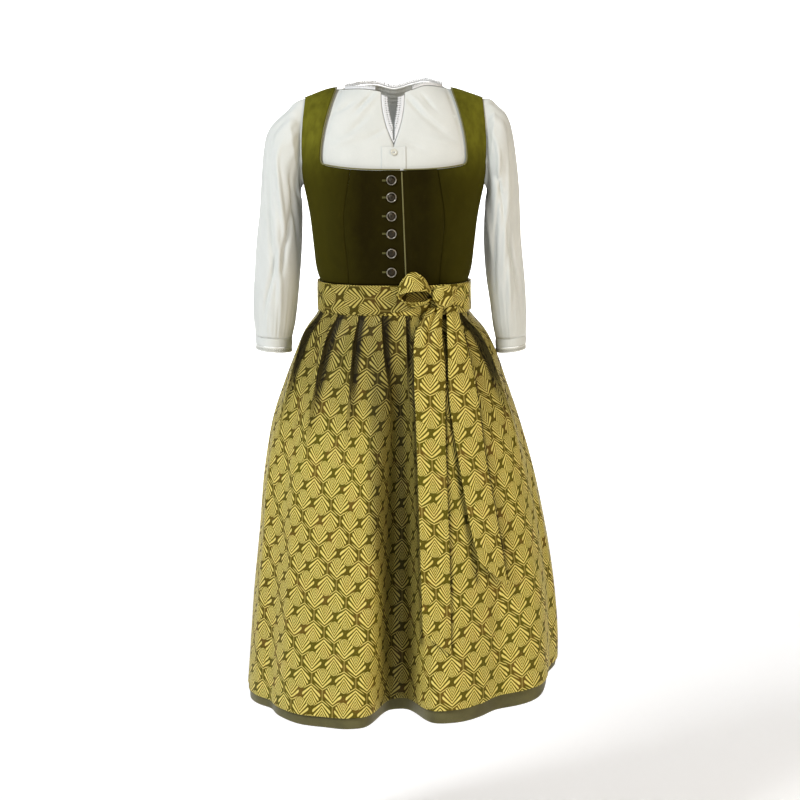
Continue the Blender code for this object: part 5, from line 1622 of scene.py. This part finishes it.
@dataclass
class Blouse:
    """The white blouse's body: fronts, back, placket, pearl button and lace."""

    room: Workroom
    torso: Torso
    linen: float = 0.0011
    lace: float = 0.0010
    seam: float = 0.0003
    inset: float = 0.0055
    outer_lane: float = 0.1530
    ring_lanes: tuple[float, float] = (math.radians(10.0), math.radians(39.0))
    lace_height: float = 0.0060
    slit_foot: float = 0.30
    slit_lanes: tuple[float, float] = (0.105, 0.085)
    slit_lace: float = 0.060
    placket_lane: float = 0.075
    pearl: float = 0.0058
    trims: dict[str, list[bpy.types.Object]] = field(
        default_factory=lambda: {"front_right": [], "front_left": [], "back": []})
    creases: Rows = field(default_factory=lambda: table(
        "x z lean length width out",
        (-0.052, -0.022, 1.0, 0.040, 0.0032, -0.0016), (-0.046, -0.030, 1.0, 0.040, 0.0034, 0.0012),
        (-0.062, -0.060, 0.9, 0.045, 0.0050, -0.0012),
        (-0.085, -0.030, 0.6, 0.040, 0.0045, -0.0014),
        (-0.080, -0.085, 0.4, 0.050, 0.0060, 0.0012), (-0.030, -0.075, 0.5, 0.040, 0.0042, -0.0010),
        (0.036, -0.030, -1.0, 0.042, 0.0032, -0.0017),
        (0.044, -0.024, -1.0, 0.040, 0.0034, 0.0012),
        (0.060, -0.022, -1.1, 0.034, 0.0034, -0.0013), (0.070, -0.060, -0.8, 0.050, 0.0050, -0.0012),
        (0.086, -0.090, -0.3, 0.050, 0.0060, 0.0012), (0.034, -0.095, -0.4, 0.045, 0.0045, -0.0010)))

    def creased(self, points: Array) -> Array:
        """Depth of the creases on the chest, by where each point is."""
        x, z = points[..., 0], points[..., 2]
        total = np.zeros_like(x)
        for at_x, at_z, lean, length, width, out in zip(*self.creases.values()):
            run = np.hypot(1.0, lean)
            ahead = ((z - at_z) * lean + (x - at_x)) / run
            off = ((z - at_z) - (x - at_x) * lean) / run
            total = total + out * bump(off, width) * bump(ahead, length / 2)
        return total * (points[..., 1] < 0)

    def slit_edge(self, height: Array, side: int) -> Array:
        """Direction of the slit's edge, from its foot to the neck edge."""
        lane = self.slit_lanes[0 if side < 0 else 1]
        up = (height - self.slit_foot) / (1 - self.slit_foot)
        return lane * ease(up) ** 0.7 * (height > 0)

    def front(self, word: str, side: int) -> None:
        """Half the front, from the neck slit to the armhole and the side seam."""
        torso = self.torso
        lane = torso.lane(self.outer_lane, torso.neckline_z)

        def place(s: Array, t: Array) -> Array:
            s = 1 - s if side < 0 else s
            height = climb(t, -0.27, torso.neckline_z, 0.36)
            edge = torso.armhole(height, torso.neckline_z, lane) - 0.0006
            direction = side * between(self.slit_edge(height, side) + 0.0002, edge, s)
            height = np.where(t >= 1, 0.998, height)
            plain = moved_out(torso.front, direction, height, -self.inset * np.ones_like(s))
            above = ease((height - torso.neckline_z) / 0.2)
            crease = np.clip(2.6 * self.creased(plain), -0.0050, 0.0022) * above
            return moved_out(torso.front, direction, height, crease - self.inset)

        piece = self.room.cloth(f"linen_front_{word}", 80, 110, place, "linen", "white_linen",
                                self.linen, [f"blouse_front_{word}"])
        declare(piece, Held.DRAPED, self.trims[f"front_{word}"])

    def back(self) -> None:
        """The back in one piece, drawn up by rows of gathering under the neck edge."""
        torso = self.torso
        lane = torso.lane(self.outer_lane, torso.back_neckline_z)

        def place(s: Array, t: Array) -> Array:
            height = climb(t, -0.27, torso.back_neckline_z, 0.40)
            edge = torso.armhole(height, torso.back_neckline_z, lane) - 0.0006
            direction = math.pi + (s * 2 - 1) * edge
            height = np.where(t >= 1, 0.998, height)
            high = ease((height - 0.55) / 0.2) * (height < 0.985)
            rows = -0.0011 * (1 - np.abs(np.sin(height * 38))) ** 3 * high
            puckers = 0.0006 * np.sin(direction * 190 + np.sin(height * 19)) * high
            soft = 0.0012 * np.sin(direction * 9 + height * 5) * ease((height + 0.09) / 0.3)
            soft = soft * ease((np.abs(edge) - np.abs(direction - math.pi)) / 0.4)
            return moved_out(torso.back, direction, height,
                             rows + puckers + np.minimum(soft, 0.0009) - self.inset)

        piece = self.room.cloth("linen_back", 170, 100, place, "linen", "white_linen", self.linen,
                                ["blouse_back"])
        declare(piece, Held.DRAPED, self.trims["back"])

    def placket(self) -> None:
        """The strip that carries the buttons, with a stitched edge each side."""
        def place(s: Array, t: Array) -> Array:
            height = climb(t, -0.165, self.torso.neckline_z, 0.4)
            height = np.where(height > self.torso.neckline_z,
                              height * self.slit_foot * 0.95, height)
            direction = between(-self.placket_lane, self.placket_lane, s)
            edge = 0.0003 * (bump(s - 0.12, 0.05) + bump(s - 0.88, 0.05))
            return moved_out(self.torso.front, direction, height,
                             self.seam + self.linen - self.inset - edge)

        piece = self.room.cloth("linen_placket", 24, 50, place, "linen", "white_linen", self.linen,
                                ["blouse_placket"])
        declare(piece, Held.STRETCHED)

    def strip(self, name: str, finish: str, steps: int, place: Place, replaces: str,
              upright: bool) -> bpy.types.Object:
        """A strip of lace: its flat coordinates run along it and out from its foot."""
        def flat(_s: Array, _t: Array, points: Array) -> tuple[Array, Array]:
            down = np.linalg.norm(np.diff(points, axis=0), axis=-1)
            up = np.concatenate([np.zeros((1, points.shape[1])), np.cumsum(down, 0)], 0)
            side = np.linalg.norm(np.diff(points, axis=1), axis=-1)
            across = np.concatenate([np.zeros((len(points), 1)), np.cumsum(side, 1)], 1)
            return (across, up) if upright else (up, across)

        columns, rows = (steps, 5) if upright else (5, steps)
        return self.room.cloth(name, columns, rows, place, finish, "white_lace", self.lace * 0.6,
                               [replaces], flat=flat)

    def neck_laces(self) -> None:
        """Lace that stands on the neck edge, with picot loops along its top."""
        torso = self.torso
        near, far = self.ring_lanes
        spans = (("right", torso.front, -far, -near), ("left", torso.front, near, far),
                 ("back", torso.back, math.pi - far, math.pi + far))
        loops = []
        for word, form, begin, end in spans:
            def at(s: Array, t: Array) -> Array:
                direction = between(begin, end, s)
                depth = np.full_like(direction, -self.inset)
                edge = moved_out(form, direction, np.full_like(direction, 0.998), depth)
                up = edge - moved_out(form, direction, np.full_like(direction, 0.94), depth)
                up = up / np.linalg.norm(up, axis=-1, keepdims=True) + np.array([0.0, 0.0, 1.2])
                up /= np.linalg.norm(up, axis=-1, keepdims=True)
                return edge + up * (4 * self.seam + self.lace_height * t)[..., None]

            def place(s: Array, t: Array) -> Array:
                wave = 0.0005 * np.sin(s * 130) * t
                return at(s, t) + stack(0 * s, wave, 0 * s)

            piece = self.strip(f"lace_neck_{word}", "narrow lace", 160, place,
                               f"neck_lace_{word}", True)
            self.trims["back" if word == "back" else f"front_{word}"].append(piece)
            length = float(np.linalg.norm(np.diff(at(np.linspace(0, 1, 60), np.ones(60)), axis=0),
                                          axis=1).sum())
            count = int(length / 0.0052)
            turn = np.linspace(0, math.pi, 8)
            for number in range(count):
                s = (number + 0.5 - 0.46 * np.cos(turn)) / count
                loops.append(at(np.clip(s, 0, 1), 0.80 + 0.78 * np.sin(turn) ** 0.7))
        mesh = self.room.tubes("picots_neck", loops, 0.00055, 5)
        self.trims["front_right"].append(self.room.add("picots_neck", mesh, "lace thread",
                                                       "white_lace"))

    def slit_laces(self) -> None:
        """Lace down both edges of the neck slit, meeting near its foot."""
        torso = self.torso
        for word, side in (("right", -1), ("left", 1)):
            def place(s: Array, t: Array) -> Array:
                height = between(self.slit_foot + 0.05, 0.97, t)
                edge = self.slit_edge(height, side) - 0.004
                width = np.minimum(np.maximum(edge - 0.003, 0.004), self.slit_lace)
                share = s if side < 0 else 1 - s
                return moved_out(torso.front, side * (edge - width * share), height,
                                 0.0004 * np.sin(t * 60) * share - self.inset)

            def flat(_s: Array, _t: Array, points: Array) -> tuple[Array, Array]:
                run = np.linalg.norm(np.diff(points, axis=0), axis=-1)
                up = np.concatenate([np.zeros((1, points.shape[1])), np.cumsum(run, 0)], 0)
                foot = points[:, :1] if side < 0 else points[:, -1:]
                return up, np.linalg.norm(points - foot, axis=-1)

            piece = self.room.cloth(f"lace_slit_{word}", 6, 120, place, "slit lace", "white_lace",
                                    self.lace * 0.6, [f"slit_lace_{word}"], flat=flat)
            self.trims[f"front_{word}"].append(piece)

    def button(self) -> None:
        """The one pearl button that shows, with the bar of thread over it."""
        r, torso = self.pearl, self.torso
        profile = [(0.0, 0.0), (r * 0.8, 0.0), (r, 0.0007), (r * 0.99, 0.0013), (r * 0.92, 0.0021),
                   (r * 0.80, 0.0023), (r * 0.68, 0.0016), (r * 0.60, 0.0013), (0.0, 0.0013)]
        at = np.float64(0.0), np.float64(self.slit_foot * 0.72)
        foot = moved_out(torso.front, *at, np.float64(self.linen + 3 * self.seam - self.inset))
        facing = Vector(moved_out(torso.front, *at, np.float64(1.0))
                        - moved_out(torso.front, *at, np.float64(0.0)))
        facing.normalize()
        mesh = self.room.turned("pearl_button", profile, Vector(foot), facing)
        self.room.add("pearl_button", mesh, "pearl", "pearl", ["blouse_button"])
        x = np.linspace(-0.0022, 0.0022, 8)
        bars = [np.array(foot)[None] + stack(x, -0.0016 - 0.0005 * (1 - (x / 0.0022) ** 2),
                                             np.full_like(x, row)) for row in (-0.0006, 0.0006)]
        mesh = self.room.tubes("button_bar", bars, 0.00042, 6)
        self.room.add("button_bar", mesh, "lace thread", "white_lace")

    def build(self) -> None:
        """The blouse's body, its lace first."""
        self.neck_laces()
        self.slit_laces()
        self.front("right", -1)
        self.front("left", 1)
        self.back()
        self.placket()
        self.button()


@dataclass
class Sleeve:
    """One three-quarter sleeve: full at the head, gathered to a narrow cuff edged in lace."""

    room: Workroom
    torso: Torso
    word: str
    side: int
    rows: Rows
    creases: Rows
    linen: float = 0.0011
    seam: float = 0.0003
    cuff_height: float = 0.0150
    lace_height: float = 0.0090
    cuff_pull: float = 0.94
    middle_y: float = 0.002
    middle_z: float = -0.095

    def armhole_loop(self, angle: Array) -> tuple[Array, Array]:
        """The bodice's armhole edge, |x| and radius, at angles from its top over the front."""
        torso, points = self.torso, []
        for form, level, behind in ((torso.front, torso.neckline_z, False),
                                    (torso.back, torso.back_neckline_z, True)):
            lane = torso.lane(torso.strap_outer, level)
            height = np.concatenate([np.linspace(torso.armhole_z, level, 12),
                                     np.linspace(0.001, 1, 14)])
            direction = torso.armhole(height, level, lane)
            points.append(form(math.pi - direction if behind else direction, height))
        x, y, z = np.concatenate(points).T
        seen = np.arctan2(-(y - self.middle_y), z - self.middle_z) % math.tau
        order = np.argsort(seen)
        radius = np.hypot(y - self.middle_y, z - self.middle_z)
        return (np.interp(angle, seen[order], x[order], period=math.tau),
                np.interp(angle, seen[order], radius[order], period=math.tau))

    def mouth(self, angle: Array, out: float) -> Array:
        """The sleeve's edge in the armhole, moved along X."""
        x, radius = self.armhole_loop(angle)
        radius = radius - 0.0042
        return stack(self.side * (x + out), self.middle_y - np.sin(angle) * radius,
                     self.middle_z + np.cos(angle) * radius)

    def hanging(self, angle: Array, row: Array) -> Array:
        """The sleeve below its head, by rows of the table."""
        knots = np.arange(len(self.rows["mid_y"]), dtype=float)
        outer_x, outer_z, inner_x, inner_z, mid_y, half = (
            smooth(row, knots, self.rows[name]) for name in self.rows)
        c, s = np.cos(angle), np.sin(angle)
        return stack(self.side * ((outer_x + inner_x) / 2 + (outer_x - inner_x) / 2 * c),
                     mid_y - half * s, (outer_z + inner_z) / 2 + (outer_z - inner_z) / 2 * c)

    def form(self, angle: Array, row: Array) -> Array:
        """The whole sleeve: rows 0 and 1 lie in the armhole, the rest hang."""
        angle = angle % math.tau
        near = np.asarray(row)[..., None]
        inside, outside = self.mouth(angle, -0.0030), self.mouth(angle, 0.0025)
        first = self.hanging(angle, np.zeros_like(row))
        t = np.clip(near - 1, 0, 1)
        puff = outside + (first - outside) * t
        lift = 0.004 * np.sin(t * math.pi) * np.maximum(np.cos(angle), 0)[..., None]
        puff[..., 2] += lift[..., 0]
        body = self.hanging(angle, np.maximum(row - 2, 0.0))
        last = len(self.rows["mid_y"]) + 1
        drawn = (1 - self.cuff_pull) * ease((near - (last - 0.5)) / 0.5)
        rim = self.hanging(angle, np.full_like(row, last - 2.0))
        middle = (rim + self.hanging(angle + math.pi, np.full_like(row, last - 2.0))) / 2
        body = body + (middle - rim) * drawn
        start = between(inside, outside, np.clip(near, 0, 1))
        return np.where(near <= 1, start, np.where(near <= 2, puff, body))

    def relief(self, angle: Array, row: Array) -> Array:
        """Gathers at the head and the cuff, and the creases in between."""
        last = len(self.rows["mid_y"]) + 1
        cuffward = ease((row - (last - 2.2)) / 2.0)
        ends = ease((last - row) / 0.12) * 0.75 + 0.25
        gathers = 0.0003 * (np.sin(angle * 27 + 0.8 * np.sin(angle * 4))
                            + 0.6 * np.sin(angle * 41 + 1.3)) * cuffward * ends
        head = ease((row - 1.2) / 0.5) * ease((3.4 - row) / 1.6)
        ruffles = 0.0010 * np.sin(angle * 17 + np.sin(angle * 3)) * head
        total = gathers + ruffles * np.maximum(np.cos(angle) + 0.4, 0)
        for at_angle, at_row, lean, length, width, out in zip(*self.creases.values()):
            turn = (np.degrees(angle) - at_angle + 180) % 360 - 180
            ahead = (row - at_row) / length
            off = (turn - lean * (row - at_row)) / width
            total = total + 1.5 * out * np.exp(-off ** 2 * 1.6) * np.exp(-ahead ** 2)
        return np.clip(total, -0.0062, 0.0050) * ease((row - 1.0) / 0.8)

    def tube(self, form: Callable[[Array, Array], Array], s: Array, along_: Array,
             out: Array) -> Array:
        """Points of a tube that runs round from its underarm seam."""
        s = s if self.side > 0 else 1 - s
        angle = math.pi + (0.003 + s * (math.tau - 0.006))
        return moved_out(form, angle, along_, self.side * out), angle

    def cuff(self, angle: Array, drop: Array) -> Array:
        """The cuff, a level band under the gathers."""
        rim = {name: values[-1] for name, values in self.rows.items()}
        c, s = np.cos(angle) * self.cuff_pull, np.sin(angle) * self.cuff_pull
        return stack(
            self.side * ((rim["outer_x"] + rim["inner_x"]) / 2
                         + (rim["outer_x"] - rim["inner_x"]) / 2 * c),
            rim["mid_y"] - rim["half_depth"] * s,
            (rim["outer_z"] + rim["inner_z"]) / 2
            + (rim["outer_z"] - rim["inner_z"]) / 2 * c - drop)

    def build(self) -> None:
        """The sleeve, its cuff and the cuff's lace."""
        last = len(self.rows["mid_y"]) + 1
        word = self.word

        def place(s: Array, t: Array) -> Array:
            row = (1 - t) * last + 0.002 * (t >= 1)
            angle = self.tube(self.form, s, row, 0.0)[1]
            return self.tube(self.form, s, row, self.relief(angle % math.tau, row))[0]

        piece = self.room.cloth(f"linen_sleeve_{word}", 160, 112, place, "linen", "white_linen",
                                self.linen, [f"blouse_sleeve_{word}"])
        declare(piece, Held.GATHERED)

        def band(s: Array, t: Array) -> Array:
            angle = self.tube(self.cuff, s, t, 0.0)[1]
            puckers = 0.0004 * np.sin(angle * 60) * np.sin(t * math.pi)
            edge = -0.0004 * bump(t - 0.08, 0.04)
            drop = self.seam + self.cuff_height * (1 - t)
            return self.tube(self.cuff, s, drop, puckers + edge)[0]

        cuff = self.room.cloth(f"linen_cuff_{word}", 180, 16, band, "linen", "white_linen",
                               self.linen, [f"blouse_cuff_{word}"])
        lace_top = self.seam + self.cuff_height + self.seam

        def edging(s: Array, t: Array) -> Array:
            angle = self.tube(self.cuff, s, t, 0.0)[1]
            drop = lace_top + self.lace_height * (1 - t)
            return self.tube(self.cuff, s, drop, 0.0007 * np.sin(angle * 45) * (1 - t))[0]

        def flat(_s: Array, _t: Array, points: Array) -> tuple[Array, Array]:
            side = np.linalg.norm(np.diff(points, axis=1), axis=-1)
            across = np.concatenate([np.zeros((len(points), 1)), np.cumsum(side, 1)], 1)
            down = np.linalg.norm(points - points[-1:], axis=-1)
            return across, down

        lace = self.room.cloth(f"lace_cuff_{word}", 220, 6, edging, "cuff lace", "white_lace",
                               0.0006, [f"cuff_lace_{word}"], flat=flat)
        declare(cuff, Held.STRETCHED, [lace])


SLEEVE_RIGHT = table(
    "outer_x outer_z inner_x inner_z mid_y half_depth",
    (0.1830, -0.0390, 0.1640, -0.1760, 0.004, 0.0530),
    (0.2165, -0.0715, 0.1640, -0.1900, 0.004, 0.0590),
    (0.2275, -0.1115, 0.1625, -0.2050, 0.004, 0.0590),
    (0.2335, -0.1900, 0.1620, -0.2380, 0.005, 0.0560),
    (0.2380, -0.2550, 0.1635, -0.2830, 0.007, 0.0530),
    (0.2415, -0.3140, 0.1670, -0.3300, 0.009, 0.0510),
    (0.2470, -0.3740, 0.1720, -0.3820, 0.011, 0.0490),
    (0.2465, -0.4360, 0.1800, -0.4410, 0.013, 0.0420))
SLEEVE_LEFT = table(
    "outer_x outer_z inner_x inner_z mid_y half_depth",
    (0.1760, -0.0290, 0.1640, -0.1760, 0.006, 0.0530),
    (0.1960, -0.0475, 0.1640, -0.1900, 0.006, 0.0590),
    (0.2070, -0.0800, 0.1625, -0.2050, 0.006, 0.0590),
    (0.2160, -0.1520, 0.1600, -0.2300, 0.008, 0.0560),
    (0.2205, -0.2330, 0.1600, -0.2800, 0.010, 0.0530),
    (0.2265, -0.2950, 0.1640, -0.3300, 0.012, 0.0510),
    (0.2320, -0.3550, 0.1720, -0.3820, 0.016, 0.0490),
    (0.2358, -0.4360, 0.1800, -0.4430, 0.020, 0.0400))
CREASES_RIGHT = table(
    "angle row lean length width out",
    (60, 5.2, 12, 1.6, 9, -0.0040), (85, 4.2, 14, 1.4, 8, 0.0034), (40, 3.4, 10, 1.0, 9, -0.0030),
    (110, 5.8, -10, 1.4, 9, -0.0040), (75, 7.2, -12, 1.2, 8, -0.0036), (95, 6.8, 8, 1.1, 8, 0.0032),
    (130, 4.4, 12, 1.3, 9, -0.0036), (150, 3.2, 16, 1.1, 9, 0.0030), (20, 6.4, -8, 1.5, 9, 0.0030),
    (230, 4.6, -10, 1.4, 10, -0.0036), (270, 5.4, 12, 1.5, 10, 0.0034),
    (310, 4.0, -9, 1.2, 10, -0.0034), (290, 7.2, 9, 1.3, 9, -0.0034))
CREASES_LEFT = table(
    "angle row lean length width out",
    (50, 4.8, 10, 1.5, 9, -0.0038), (78, 5.6, 12, 1.4, 9, 0.0032), (100, 4.2, -12, 1.2, 8, -0.0036),
    (65, 6.9, -10, 1.3, 9, -0.0038), (118, 6.2, 10, 1.3, 9, -0.0034), (90, 3.4, 14, 1.0, 9, 0.0030),
    (140, 5.0, -10, 1.4, 9, 0.0032), (30, 6.0, 8, 1.4, 10, 0.0030), (85, 7.6, 8, 0.9, 8, 0.0030),
    (225, 5.0, 11, 1.4, 10, 0.0034), (262, 4.2, -10, 1.2, 10, -0.0034),
    (300, 5.6, 10, 1.4, 10, -0.0036), (330, 7.0, -8, 1.2, 9, 0.0030))


# ------------------------------------------------------------------ studio

@dataclass
class Studio:
    """A pale sweep, soft lights and the camera."""

    target: Vector = field(default_factory=lambda: Vector((0.0107, 0.0, -0.55)))
    floor_z: float = -1.42
    half: float = 7.0
    back_y: float = 6.0
    camera_at: tuple[float, float, float] = (0.0107, -4.4, 0.16)
    pitch: float = math.radians(90.0 - 9.19)
    lens: float = 112.7

    def sweep(self) -> None:
        """The floor, curved up into the backdrop."""
        bm = bmesh.new()
        bmesh.ops.create_grid(bm, x_segments=8, y_segments=60, size=1.0)
        for vertex in bm.verts:
            share = (vertex.co.y + 1) / 2
            radius = 1.6
            run = self.back_y + 7.0 - radius
            length = run + radius * math.pi / 2 + 4.0
            at = share * length
            if at < run:
                y, z = -7.0 + at, 0.0
            elif at < run + radius * math.pi / 2:
                turn = (at - run) / radius
                y, z = -7.0 + run + radius * math.sin(turn), radius * (1 - math.cos(turn))
            else:
                y, z = self.back_y, radius + at - run - radius * math.pi / 2
            vertex.co = (vertex.co.x * self.half, y, z + self.floor_z)
        mesh = bpy.data.meshes.new("sweep")
        bm.to_mesh(mesh)
        bm.free()
        mesh.shade_smooth()
        graph = Graph("pale sweep")
        grain = graph.noise(6.0, 2.0)
        mesh.materials.append(graph.dress(
            Base_Color=graph.mix(grain, colour(244, 244, 244), colour(250, 250, 250)),
            Roughness=0.9, Specular_IOR_Level=0.1, Emission_Color=(1.0, 1.0, 1.0, 1.0),
            Emission_Strength=0.34))
        floor = bpy.data.objects.new("sweep", mesh)
        bpy.context.scene.collection.objects.link(floor)

    def light(self, name: str, at: tuple[float, float, float], size: float, power: float,
              tint: Colour) -> None:
        """One soft square light turned to the dress."""
        lamp = bpy.data.lights.new(name, "AREA")
        lamp.shape, lamp.size, lamp.energy, lamp.color = "SQUARE", size, power, tint
        stand = bpy.data.objects.new(name, lamp)
        stand.location = at
        stand.rotation_euler = (self.target - Vector(at)).to_track_quat("-Z", "Y").to_euler()
        bpy.context.scene.collection.objects.link(stand)

    def build(self) -> None:
        """All of it."""
        scene = bpy.context.scene
        self.sweep()
        world = bpy.data.worlds.new("soft white")
        world.use_nodes = True
        world.node_tree.nodes["Background"].inputs["Color"].default_value = (1.0, 1.0, 1.0, 1.0)
        world.node_tree.nodes["Background"].inputs["Strength"].default_value = 0.21
        scene.world = world
        self.light("key, cool", (-2.3, -2.3, 2.5), 0.9, 130.0, (0.97, 0.99, 1.02))
        self.light("fill, warm", (2.6, -2.4, 0.9), 1.2, 48.0, (1.0, 0.82, 0.60))
        self.light("rim", (0.6, 1.6, 2.2), 1.6, 5.0, (1.0, 1.0, 1.0))
        self.target = Vector((0.0, self.back_y, -0.4))
        for word, x in (("left", 1.9), ("right", -1.9)):
            self.light(f"backdrop {word}", (x, 3.9, -0.9), 1.2, 110.0, (1.0, 1.0, 1.0))
        camera = bpy.data.cameras.new("camera")
        camera.lens = self.lens
        camera.sensor_width = 36.0
        stand = bpy.data.objects.new("camera", camera)
        stand.location = self.camera_at
        stand.rotation_euler = (self.pitch, 0.0, 0.0)
        scene.collection.objects.link(stand)
        scene.camera = stand
        scene.view_settings.view_transform = "Standard"


def main() -> None:
    """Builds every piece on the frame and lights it."""
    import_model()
    finishes = {
        "velvet": Velvet().make(),
        "skirt": PlainWeave("dark olive skirt cloth", colour(44, 41, 18), colour(122, 117, 76),
                            900.0, 0.8, 0.3).make(),
        "jacquard": Jacquard().make("leaf fan jacquard", False),
        "jacquard_sideways": Jacquard().make("leaf fan jacquard, sideways", True),
        "linen": PlainWeave("white linen", colour(202, 206, 201), colour(229, 231, 226),
                            1100.0, 0.85, 0.15).make(),
        "narrow lace": Lace(0.0060, 0.0042).make("neck lace"),
        "slit lace": Lace(0.0125, 0.0042).make("slit lace"),
        "cuff lace": Beading().make("cuff beading"),
        "lace thread": PlainWeave("white thread", colour(186, 189, 190), colour(226, 228, 228),
                                  1500.0, 0.8, 0.1).make(),
        "rim": Metal.RIM.make(), "dome": Metal.DOME.make(), "piping": Plain.PIPING.make(),
        "stitch": Plain.STITCH.make(), "pearl": Plain.PEARL.make()}
    room, torso, skirt = Workroom(finishes), Torso(), SkirtForm()
    parts = (Blouse(room, torso), Sleeve(room, torso, "right", -1, SLEEVE_RIGHT, CREASES_RIGHT),
             Sleeve(room, torso, "left", 1, SLEEVE_LEFT, CREASES_LEFT), Bodice(room, torso),
             DressSkirt(room, skirt), Apron(room, torso, ApronForm(skirt)), Studio())
    for part in parts:
        part.build()
        log.info("built %s", type(part).__name__)


if __name__ == "__main__":
    main()
